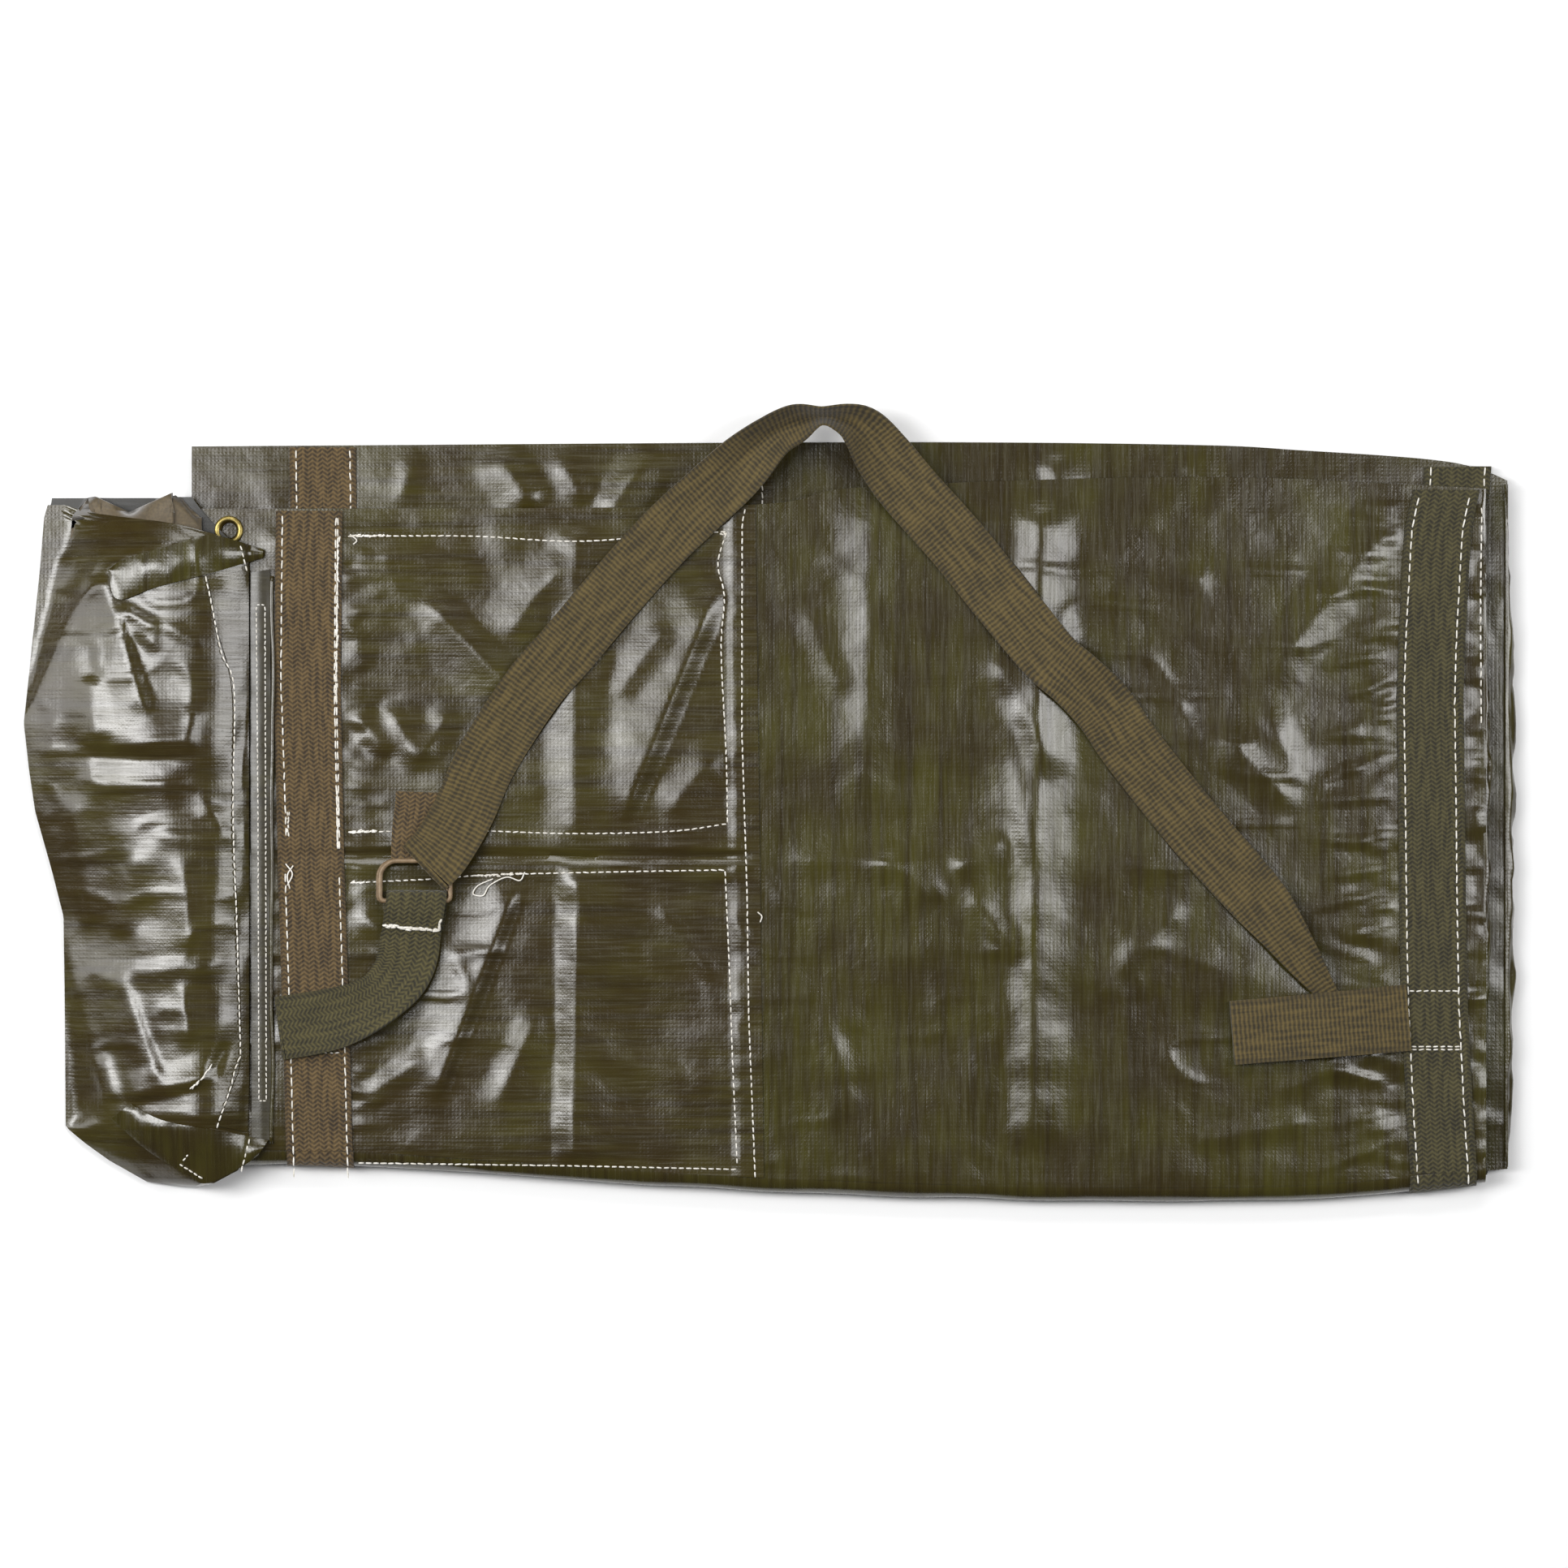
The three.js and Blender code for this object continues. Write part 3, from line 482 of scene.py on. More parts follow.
@dataclass(frozen=True)
class Webbing:
    """Polypropylene webbing, woven on a narrow loom: matt, with raised rows of yarn and a selvedge binding at
    each edge.
    """

    name: str
    bind: Bind
    yarn: str
    shade: str
    half_width: float
    row_pitch: float = 2.7  # real rows are 1.3 mm apart, and are drawn this coarse so that they show
    chevron: float = 6.0
    roughness: float = 0.82

    def build(self) -> bpy.types.Material:
        """The webbing's material, which follows its own weave map in millimetres."""
        material, tree = start_material(self.name)
        weave = add_node(tree, "ShaderNodeUVMap", {"uv_map": "weave"}).outputs[0]
        parts = add_node(tree, "ShaderNodeSeparateXYZ", inputs={0: weave})
        zig = add_node(tree, "ShaderNodeMath", {"operation": "PINGPONG"}, {
            0: parts.outputs["X"], 1: self.chevron / 2})
        slant = 0.75 if self.bind is Bind.HERRINGBONE else 0.12
        leaned = add_node(tree, "ShaderNodeMath", {"operation": "MULTIPLY_ADD"}, {
            0: zig.outputs[0], 1: slant, 2: parts.outputs["Y"]})
        turns = add_node(tree, "ShaderNodeMath", {"operation": "MULTIPLY"}, {
            0: leaned.outputs[0], 1: 2 * math.pi / self.row_pitch})
        wave = add_node(tree, "ShaderNodeMath", {"operation": "SINE"}, {0: turns.outputs[0]})
        rows = add_node(tree, "ShaderNodeMapRange", inputs={"Value": wave.outputs[0], "From Min": -1.0})
        stretched = add_node(tree, "ShaderNodeMapping", inputs={"Vector": weave, "Scale": (0.45, 0.05, 1.0)})
        faded = add_node(tree, "ShaderNodeTexNoise", inputs={
            "Vector": stretched.outputs[0], "Scale": 1.0, "Detail": 3.0})
        fuzz = add_node(tree, "ShaderNodeTexNoise", inputs={"Vector": weave, "Scale": 1.4, "Detail": 3.0})
        tone = add_node(tree, "ShaderNodeMath", {"operation": "MULTIPLY_ADD"}, {
            0: rows.outputs[0], 1: 0.75, 2: 0.0})
        blotch = add_node(tree, "ShaderNodeMapRange", inputs={
            "Value": faded.outputs["Fac"], "From Min": 0.35, "From Max": 0.65, "To Min": -0.2,
            "To Max": 0.45})
        share = add_node(tree, "ShaderNodeMath", {"operation": "ADD", "use_clamp": True}, {
            0: blotch.outputs[0], 1: tone.outputs[0]})
        woven = add_node(tree, "ShaderNodeMix", {"data_type": "RGBA"}, {
            "Factor": share.outputs[0], "A": linear(self.shade), "B": linear(self.yarn)})
        aside = add_node(tree, "ShaderNodeMath", {"operation": "ABSOLUTE"}, {0: parts.outputs["X"]})
        # The colour darkens towards both edges: painted shade where the webbing's edges fall to the cloth.
        edge_shade = add_node(tree, "ShaderNodeMapRange", inputs={
            "Value": aside.outputs[0], "From Min": self.half_width - 2.4, "From Max": self.half_width - 1.0,
            "To Max": 0.4})
        colour = add_node(tree, "ShaderNodeMix", {"data_type": "RGBA"}, {
            "Factor": edge_shade.outputs[0], "A": woven.outputs["Result"], "B": linear(self.shade)})
        bump = add_node(tree, "ShaderNodeBump", inputs={
            "Height": fuzz.outputs["Fac"], "Strength": 0.4, "Distance": 0.3 * MM})
        bump = add_node(tree, "ShaderNodeBump", inputs={
            "Height": rows.outputs[0], "Strength": 0.8, "Distance": 0.45 * MM, "Normal": bump.outputs[0]})
        end_material(tree, {
            "Base Color": colour.outputs["Result"], "Roughness": self.roughness, "IOR": 1.49,
            "Sheen Weight": 0.15, "Normal": bump.outputs[0]})
        return material


@dataclass(frozen=True)
class Fibre:
    """Spun or plain-woven fibre, such as polyester thread or nylon cloth: matt, with a fine uneven face."""

    name: str
    colour: str
    shadow: str
    grain: float
    depth: float
    roughness: float
    sheen: float

    def build(self) -> bpy.types.Material:
        """The fibre's material."""
        material, tree = start_material(self.name)
        place = add_node(tree, "ShaderNodeTexCoord").outputs["Object"]
        fine = add_node(tree, "ShaderNodeTexNoise", inputs={
            "Vector": place, "Scale": 1 / (self.grain * MM), "Detail": 4.0})
        broad = add_node(tree, "ShaderNodeTexNoise", inputs={
            "Vector": place, "Scale": 1 / (12 * self.grain * MM), "Detail": 2.0})
        mixed = add_node(tree, "ShaderNodeMath", {"operation": "MULTIPLY"}, {
            0: fine.outputs["Fac"], 1: broad.outputs["Fac"]})
        share = add_node(tree, "ShaderNodeMapRange", inputs={
            "Value": mixed.outputs[0], "From Min": 0.12, "From Max": 0.4})
        colour = add_node(tree, "ShaderNodeMix", {"data_type": "RGBA"}, {
            "Factor": share.outputs[0], "A": linear(self.shadow), "B": linear(self.colour)})
        bump = add_node(tree, "ShaderNodeBump", inputs={
            "Height": fine.outputs["Fac"], "Strength": 0.5, "Distance": self.depth * MM})
        end_material(tree, {
            "Base Color": colour.outputs["Result"], "Roughness": self.roughness, "IOR": 1.53,
            "Sheen Weight": self.sheen, "Normal": bump.outputs[0]})
        return material


@dataclass(frozen=True)
class HardFinish:
    """Brass, stamped and tumbled, or steel wire under dipped enamel: smooth, and duller where it is worn."""

    name: str
    colour: str
    worn: str
    metallic: float
    roughness: float
    wear_size: float

    def build(self) -> bpy.types.Material:
        """The fitting's material."""
        material, tree = start_material(self.name)
        place = add_node(tree, "ShaderNodeTexCoord").outputs["Object"]
        wear = add_node(tree, "ShaderNodeTexNoise", inputs={
            "Vector": place, "Scale": 1 / (self.wear_size * MM), "Detail": 5.0, "Roughness": 0.6})
        share = add_node(tree, "ShaderNodeMapRange", inputs={
            "Value": wear.outputs["Fac"], "From Min": 0.42, "From Max": 0.68})
        colour = add_node(tree, "ShaderNodeMix", {"data_type": "RGBA"}, {
            "Factor": share.outputs[0], "A": linear(self.colour), "B": linear(self.worn)})
        dulled = add_node(tree, "ShaderNodeMapRange", inputs={
            "Value": wear.outputs["Fac"], "To Min": self.roughness, "To Max": self.roughness + 0.2})
        bump = add_node(tree, "ShaderNodeBump", inputs={
            "Height": wear.outputs["Fac"], "Strength": 0.2, "Distance": 0.1 * MM})
        end_material(tree, {
            "Base Color": colour.outputs["Result"], "Roughness": dulled.outputs[0],
            "Metallic": self.metallic, "Normal": bump.outputs[0]})
        return material


@dataclass
class Finishes:
    """Every finish of the stretcher, built once."""

    lengthwise: bpy.types.Material = field(init=False)
    crosswise: bpy.types.Material = field(init=False)
    dark_cloth: bpy.types.Material = field(init=False)
    painted_shade_cloth: bpy.types.Material = field(init=False)
    brown_webbing: bpy.types.Material = field(init=False)
    green_webbing: bpy.types.Material = field(init=False)
    strap: bpy.types.Material = field(init=False)
    ring_strap: bpy.types.Material = field(init=False)
    nylon: bpy.types.Material = field(init=False)
    thread: bpy.types.Material = field(init=False)
    brass: bpy.types.Material = field(init=False)
    enamel: bpy.types.Material = field(init=False)

    def __post_init__(self) -> None:
        """Builds the materials."""
        self.lengthwise = CoatedCloth("coated_cloth_lengthwise").build()
        self.crosswise = CoatedCloth(
            "coated_cloth_crosswise", Run.CROSSWISE, ground="#322A10", green="#3F3B13").build()
        self.dark_cloth = CoatedCloth(
            "coated_cloth_edge", ground="#2C2612", green="#353015", brown="#201A0D", roughness=0.4).build()
        # The same coated cloth made near-black: painted shade for the pocket's inside, shown on its back skin
        # at the mouth.
        self.painted_shade_cloth = CoatedCloth(
            "coated_cloth_painted_shade", ground="#16140E", green="#1B190F", brown="#0E0D0A",
            roughness=0.55).build()
        self.brown_webbing = Webbing(
            "cross_webbing_brown", Bind.HERRINGBONE, "#685432", "#2B2113", 20.0).build()
        self.green_webbing = Webbing(
            "cross_webbing_green", Bind.HERRINGBONE, "#4E4829", "#1F1C0E", 20.0).build()
        self.strap = Webbing("strap_webbing_ribbed", Bind.RIBBED, "#5F5029", "#2A2310", 18.5).build()
        self.ring_strap = Webbing(
            "strap_webbing_herringbone", Bind.HERRINGBONE, "#524B29", "#211E0E", 18.5).build()
        self.nylon = Fibre("plain_nylon", "#5E5036", "#3F3420", 1.6, 0.2, 0.62, 0.3).build()
        self.thread = Fibre("polyester_thread", "#F4F1EA", "#CFC9BC", 1.0, 0.2, 0.75, 0.2).build()
        self.brass = HardFinish("stamped_brass", "#A4935A", "#7C6D3C", 1.0, 0.3, 3.0).build()
        self.enamel = HardFinish("dipped_enamel", "#8A755A", "#6A563F", 0.1, 0.38, 6.0).build()


# ---- Putting a piece in place ----


@dataclass(frozen=True)
class Mount:
    """How a piece moves: with one body; a piece between two bodies also names the second body and two places.
    """

    body: str
    to_body: str | None = None
    start: tuple[float, float, float] = (0.0, 0.0, 0.0)
    end: tuple[float, float, float] = (0.0, 0.0, 0.0)

    def apply(self, piece: bpy.types.Object) -> None:
        """Makes the piece ride with its body; a piece between two bodies is only baked where it stands."""
        if self.to_body is None:
            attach(piece, self.body)
            return
        start, end = (tuple(v * MM for v in place) for place in (self.start, self.end))
        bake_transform(piece)
        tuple(start)
        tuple(end)


def fit(
    piece: bpy.types.Object, mount: Mount, finish: bpy.types.Material,
    replaces: Sequence[str] = (), flat: Point | None = None,
) -> bpy.types.Object:
    """Dresses a piece and puts it on its body.

    Args:
        piece: The finished mesh.
        mount: How it moves.
        finish: Its material.
        replaces: The CAD nodes that it stands for.
        flat: Width and length that a sheet was cut to; not used.

    Returns:
        The same piece.
    """
    piece.data.materials.append(finish)
    mount.apply(piece)
    if replaces:
        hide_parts(*replaces)
    LOG.info("built %s", piece.name)
    return piece


LOWER = Mount("lower_pack")
UPPER = Mount("upper_pack")
CARRY = Mount("carry_strap")
STRAP_LIFT = Mount("upper_pack", "carry_strap", (0.0, -124.0, 22.5), (0.0, -92.0, 22.5))
POCKET_LIFT = Mount("upper_pack", "end_pocket", (-309.0, -20.0, 20.0), (-330.0, -20.0, 20.0))


# ---- Sewing ----


@dataclass
class Sewing:
    """Rows of lockstitches, gathered in one piece."""

    name: str
    surface: Height
    radius: float = 0.48
    seed: int = 1
    starts: list[Array] = field(default_factory=list)
    ends: list[Array] = field(default_factory=list)

    def row(self, points: Sequence[Sequence[float]], pitch: float = 4.5, smooth: bool = False) -> None:
        """Sews one row along a line.

        Args:
            points: The line, seen from above.
            pitch: From one stitch to the next.
            smooth: Whether the line is curved through its points.
        """
        line = smooth_line(points) if smooth else np.asarray(points, float)
        places = evenly(line, pitch)
        random = np.random.default_rng(self.seed + len(self.starts))
        step = np.diff(places, axis=0)
        wander = random.normal(0, 0.14, (len(step), 2))
        self.starts.append(places[:-1] + 0.09 * step + wander)
        self.ends.append(places[1:] - 0.09 * step - wander)

    def backtack(self, points: Sequence[Sequence[float]], pitch: float = 2.6) -> None:
        """Sews a short thick run, as where a row is locked.

        Args:
            points: The line, seen from above.
            pitch: From one stitch to the next.
        """
        places = evenly(np.asarray(points, float), pitch)
        random = np.random.default_rng(self.seed + 50 + len(self.starts))
        for _ in range(2):
            self.starts.append(places[:-1] + random.normal(0, 0.5, (len(places) - 1, 2)))
            self.ends.append(places[1:] + random.normal(0, 0.5, (len(places) - 1, 2)))

    def build(self) -> bpy.types.Object:
        """One small thick thread for each stitch, its ends sunk in the cloth."""
        starts, ends = np.vstack(self.starts), np.vstack(self.ends)
        low = self.surface(starts[:, 0], starts[:, 1])
        high = self.surface(ends[:, 0], ends[:, 1])
        begin = np.column_stack([starts, low])
        along = np.column_stack([ends, high]) - begin
        flat = units(along[:, :2])
        side = np.column_stack([-flat[:, 1], flat[:, 0], np.zeros(len(flat))])
        shares = np.array([0.0, 0.12, 0.35, 0.65, 0.88, 1.0])
        girths = np.array([0.35, 0.85, 1.0, 1.0, 0.85, 0.35])
        lifts = np.array([-0.55, 0.05, 0.35, 0.35, 0.05, -0.55])
        turn = np.linspace(0, 2 * math.pi, 6, endpoint=False)
        centre = begin[:, None] + along[:, None] * shares[None, :, None]
        centre[:, :, 2] += lifts
        around = side[:, None, None] * np.cos(turn)[None, None, :, None]
        around = around + np.array([0.0, 0.0, 1.0]) * np.sin(turn)[None, None, :, None]
        points = centre[:, :, None] + around * (self.radius * girths)[None, :, None, None]
        rings, sides = len(shares), len(turn)
        one = np.arange(rings * sides).reshape(rings, sides)
        closed = np.hstack([one, one[:, :1]])
        body = np.stack([closed[:-1, :-1], closed[:-1, 1:], closed[1:, 1:], closed[1:, :-1]], axis=-1)
        caps = [one[0, [3, 2, 1, 0]], one[0, [5, 4, 3, 0]], one[-1, [0, 1, 2, 3]], one[-1, [0, 3, 4, 5]]]
        faces = np.vstack([body.reshape(-1, 4), np.array(caps)])
        every = (faces[None] + (np.arange(len(starts)) * rings * sides)[:, None, None]).reshape(-1, 4)
        return make_mesh(self.name, points.reshape(-1, 3), every)


# ---- The two packs ----


@dataclass
class Pack:
    """One folded half of the stretcher: its outline and the levels of its two sheets."""

    outer_nodes: tuple[str, str]
    cross_fold_node: str
    long_fold_node: str
    fold_sag: tuple[Point, ...]
    free_dip: tuple[Point, ...]
    left: float = field(init=False)
    seam: float = field(init=False)
    right: float = field(init=False)
    fold: Edge = field(init=False)
    free: Edge = field(init=False)

    def __post_init__(self) -> None:
        """Takes the outline's places from the frame."""
        end, middle = (Extent.of(node) for node in self.outer_nodes)
        self.left, self.seam = end.low[0], end.high[0]
        self.right = Extent.of(self.cross_fold_node).high[0]
        lowest = Extent.of(self.long_fold_node).low[1]
        highest = max(end.high[1], middle.high[1])
        sag = max(value for _, value in self.fold_sag)
        dip = min(value for _, value in self.free_dip)
        self.fold = Edge.along(self.left, self.right, lowest + sag, [(s, -v) for s, v in self.fold_sag])
        self.free = Edge.along(self.left, self.right, highest + dip, [(s, -v) for s, v in self.free_dip])


LONG_FOLD_SAG = ((0.0, 0.0), (0.14, 0.5), (0.4, 14.0), (0.65, 21.0), (0.85, 20.5), (1.0, 10.0))
UPPER_EDGE_DIP = ((0.0, 42.0), (0.42, 40.0), (0.52, 29.0), (0.77, 22.6), (0.93, 27.0), (1.0, 30.0))
LOWER_EDGE_DIP = ((0.0, 4.0), (0.5, 1.5), (0.75, 3.0), (0.84, 6.5), (0.93, 11.5), (0.97, 17.0), (1.0, 27.0))

UPPER_PACK = Pack(("upper_outer_end_panel", "upper_outer_middle_panel"), "upper_cross_fold",
                  "upper_outer_long_fold", LONG_FOLD_SAG, UPPER_EDGE_DIP)
LOWER_PACK = Pack(("lower_outer_end_panel", "lower_outer_middle_panel"), "lower_cross_fold",
                  "lower_outer_long_fold", LONG_FOLD_SAG, LOWER_EDGE_DIP)

CLOTH = 0.8
WEBBING = 1.3
SEAM_LAP = 14.0
UPPER_OUTER = Extent.of("upper_outer_middle_panel").high[2]
UPPER_INNER = Extent.of("upper_inner_middle_panel").high[2]
LOWER_INNER = Extent.of("lower_inner_middle_panel").high[2]
FOLD_EDGE = -239.7  # Y of the long fold's outer edge
CROSS_WIDTH = 40  # width of the webbing across the sheets
STRAP_WIDTH = 37  # width of the shoulder strap and of the rings' strap


def level_at(height: float) -> Height:
    """A flat surface at one level."""
    return lambda x, y: height + 0 * x


def raised(surface: Height, by: float) -> Height:
    """The same surface, moved up."""
    return lambda x, y: surface(x, y) + by


@dataclass(frozen=True)
class Relief:
    """The standing shape of one sheet: its creases, its slack and the pull of its seams."""

    pack: Pack
    level: float
    creases: tuple[Crease, ...]
    slack: float
    seed: int
    pulls: tuple[tuple[float, float, float], ...] = ()  # X of a seam, reach, height
    side: float = 1.0  # -1 for a sheet whose face looks down

    def height(self, x: Array, y: Array) -> Array:
        """The level of the sheet's upper face at each point."""
        x, y = np.asarray(x, float), np.asarray(y, float)
        broad = soft_noise(x / 85, y / 70, self.seed) + 0.5 * soft_noise(x / 38, y / 34, self.seed + 1)
        small = soft_noise(x / 15 + y / 60, y / 13, self.seed + 2)
        mask = rise(-0.1, 0.8, soft_noise(x / 60, y / 60, self.seed + 3))
        ridged = 1 - 2 * np.abs(soft_noise(x / 44 + 0.4 * y / 30, y / 26, self.seed + 4))
        relief = self.slack * (0.9 * broad + 0.22 * small + 0.8 * mask * np.clip(ridged, 0, 1) ** 2)
        relief = relief + total_relief(self.creases, x, y)
        for place, reach, height in self.pulls:
            near = np.exp(-np.abs(x - place) / reach)
            ripple = soft_noise(x / (3 * reach) + 7.3, y / 7.5, self.seed + 5)
            ripple = ripple + 0.6 * soft_noise(x / reach, y / 3.6, self.seed + 6)
            relief = relief + height * near * ripple
        near_fold = rise(1.0, 16.0, y - self.pack.fold.at(x))
        near_free = rise(-2.0, 22.0, self.pack.free.at(x) - y)
        relief = relief * near_fold * (0.35 + 0.65 * near_free) - 0.7 * (1 - near_free)
        return self.level + self.side * relief


def ends_at(*points: Point) -> Callable[[Array], Array]:
    """A panel's end as an X for each Y, through (Y, X) points."""
    ys, xs = zip(*points)
    return lambda y: np.interp(y, ys, xs)


def panel(
    name: str, pack: Pack, surface: Height, left: Callable[[Array], Array], right: Callable[[Array], Array],
    step: float, fold_radius: float, hole: tuple[float, float, float] | None = None,
) -> bpy.types.Object:
    """A panel of cloth between two ends, from the long fold to the free edge.

    Args:
        name: The piece's name.
        pack: Whose outline it fills.
        surface: Its upper face.
        left: Its left end, for each Y.
        right: Its right end, for each Y.
        step: Spacing of its points.
        fold_radius: How far inside the long fold's edge it stops.
        hole: X, Y and radius of a hole.

    Returns:
        The linked object.
    """
    middle = (float(left(np.array(0.0))) + float(right(np.array(0.0)))) / 2
    width = float(right(np.array(0.0))) - float(left(np.array(0.0)))
    depth = float(pack.free.at(middle) - pack.fold.at(middle))
    u = np.linspace(0, 1, max(4, round(width / step)))[:, None]
    v = np.linspace(0, 1, max(4, round(depth / step)))[None, :]
    x = middle + (u - 0.5) * width + 0 * v
    for _ in range(2):
        low, high = pack.fold.at(x) + fold_radius, pack.free.at(x)
        y = low + v * (high - low)
        x = left(y) + u * (right(y) - left(y))
    low, high = pack.fold.at(x) + fold_radius, pack.free.at(x)
    y = low + v * (high - low)
    return slab(name, np.stack([x, y, surface(x, y)], axis=-1), CLOTH, hole=hole)


def fold_band(
    name: str, upper: Pack, lower: Pack, high: float, low: float, left: float, right: float,
    inset: float = 0.0, outward: float = 0.0, thickness: float = CLOTH, margin: float = 0.0,
) -> bpy.types.Object:
    """The cloth that turns round a long fold, from the upper pack's sheet to the lower pack's.

    Args:
        name: The piece's name.
        upper: The upper pack.
        lower: The lower pack.
        high: Level of the upper sheet's outer face.
        low: Level of the lower sheet's outer face.
        left: Where the band starts.
        right: Where it ends.
        inset: How far the fold lies inside the packs' edge.
        outward: How far the band stands off the cloth below it.
        thickness: Of the band.
        margin: How much of it lies flat past the bend, on each side.

    Returns:
        The linked object.
    """
    radius = (high - low) / 2
    x = np.linspace(left, right, max(6, round((right - left) / 5)))[:, None]
    turn = np.linspace(-0.5 * math.pi, 0.5 * math.pi, 19)[None, :]
    share = 0.5 + 0.5 * np.sin(turn)
    base = upper.fold.at(x) * share + lower.fold.at(x) * (1 - share) + inset
    swell = 1 + 0.07 * soft_noise(x / 40, turn * 1.5, 91)
    reach = radius + outward
    y = base + radius - reach * np.cos(turn) * np.where(np.abs(turn) > 1.3, 1, swell)
    z = (high + low) / 2 + reach * np.sin(turn) + 0 * x
    top = np.stack([x + 0 * turn, y, z], axis=-1)
    along = np.stack([(x - (left + right) / 2) + 0 * turn, radius * turn + 0 * x], axis=-1)
    if margin > 0:
        beyond = np.array([0.0, margin, 0.0])
        top = np.concatenate([top[:, :1] + beyond, top, top[:, -1:] + beyond], axis=1)
        flat = np.array([0.0, margin])
        along = np.concatenate([along[:, :1] - flat, along, along[:, -1:] + flat], axis=1)
    return slab(name, top, thickness, along)


def cross_fold(
    name: str, pack: Pack, high: float, low: float, seed: int, inset: float, margin: float
) -> bpy.types.Object:
    """The rounded fold at a pack's right end.

    Args:
        name: The piece's name.
        pack: Whose end it closes.
        high: Level of the upper sheet's outer face.
        low: Level of the lower sheet's outer face.
        seed: Picks its wrinkles.
        inset: How far inside the long fold it starts.
        margin: How much of it lies flat past the bend, on each side.

    Returns:
        The linked object.
    """
    radius = (high - low) / 2
    share = np.linspace(0, 1, 120)[:, None]
    turn = np.linspace(-0.5 * math.pi, 0.5 * math.pi, 21)[None, :]
    start = float(pack.fold.at(pack.right)) + inset
    y = start + share * (float(pack.free.at(pack.right)) - start) + 0 * turn
    wrinkle = soft_noise(y / 21, turn * 0.8, seed) + 0.6 * soft_noise(y / 8, turn * 1.2, seed + 1)
    pull = 1.6 * np.cos(turn) * wrinkle - 1.0 * np.cos(turn)
    bow = 5.0 * (1 - np.sin(math.pi * share)) * np.cos(turn)
    x = pack.right - radius + (radius * np.cos(turn) + pull - bow)
    z = (high + low) / 2 + radius * np.sin(turn) + 0.5 * np.cos(turn) * wrinkle
    top = np.stack([x, y, z], axis=-1)
    beyond = np.array([-margin, 0.0, 0.0])
    top = np.concatenate([top[:, :1] + beyond, top, top[:, -1:] + beyond], axis=1)
    return slab(name, top, CLOTH)


# ---- Webbing ----


@dataclass
class Ribbon:
    """Webbing or strap laid along a route, flat or folded up along its middle."""

    route: Array
    width: Array
    gutter: Array
    roll: Array
    thickness: float = WEBBING
    columns: int = 11
    across: Array | None = None  # one crosswise direction, for a ribbon that turns over

    @classmethod
    def through(cls, points: Sequence[Sequence[float]], step: float = 2.6) -> "Ribbon":
        """A ribbon from rows of X, Y, Z, width, gutter angle and roll angle, both in degrees.

        Args:
            points: The rows, in order along the ribbon.
            step: Spacing along it.

        Returns:
            The ribbon.
        """
        dense = smooth_line(np.asarray(points, float), 10)
        along = np.concatenate([[0.0], np.cumsum(np.linalg.norm(np.diff(dense[:, :3], axis=0), axis=1))])
        places = np.linspace(0, along[-1], max(3, round(along[-1] / step) + 1))
        rows = np.stack([np.interp(places, along, dense[:, k]) for k in range(6)], axis=1)
        return cls(rows[:, :3], rows[:, 3], np.radians(rows[:, 4]), np.radians(rows[:, 5]))

    @classmethod
    def turning(cls, route: Array, width: float | Array, across: Array) -> "Ribbon":
        """A flat ribbon that turns over, with its width always along one direction."""
        level = np.zeros(len(route))
        return cls(route, level + width, level, level, across=across)

    def build(self, name: str) -> bpy.types.Object:
        """The ribbon as a closed strip with its weave map."""
        along = units(np.gradient(self.route, axis=0))
        upright = np.cross(np.array([0.0, 0.0, 1.0]), along)
        side = units(upright) if self.across is None else np.tile(self.across, (len(along), 1))
        up = np.cross(along, side)
        turn_cos, turn_sin = np.cos(self.roll)[:, None], np.sin(self.roll)[:, None]
        side, up = side * turn_cos + up * turn_sin, up * turn_cos - side * turn_sin
        across = np.linspace(-1, 1, self.columns)
        half = self.width / 2
        aside = across[None, :] * (half * np.cos(self.gutter))[:, None]
        bend = np.sqrt(across**2 + 0.02) - math.sqrt(0.02)
        lift = bend[None, :] * (half * np.sin(self.gutter))[:, None]
        crown = 0.22 * (1 - across**4)
        lift = lift + crown[None, :] + self.thickness / 2
        top = self.route[:, None] + side[:, None] * aside[..., None] + up[:, None] * lift[..., None]
        length = np.concatenate([[0.0], np.cumsum(np.linalg.norm(np.diff(self.route, axis=0), axis=1))])
        weave = np.stack(np.broadcast_arrays(across[None, :] * half[:, None], length[:, None]), axis=-1)
        return slab(name, top, self.thickness, weave)

    def length(self) -> float:
        """How long the ribbon is."""
        return float(np.linalg.norm(np.diff(self.route, axis=0), axis=1).sum())


def folded_end(centre: Array, heading: Array, radius: float, start: float, count: int) -> Array:
    """Points round the fold of a strap, from above down to straight beneath.

    Args:
        centre: Middle of the fold.
        heading: Unit vector along the strap, towards the fold.
        radius: Of the fold.
        start: Angle of the first point above the level, in degrees.
        count: Number of points.

    Returns:
        The points.
    """
    turn = np.radians(np.linspace(start, -90, count))
    bend = centre + heading * (np.cos(turn) * radius)[:, None]
    return bend + np.array([0, 0, 1.0]) * (np.sin(turn) * radius)[:, None]


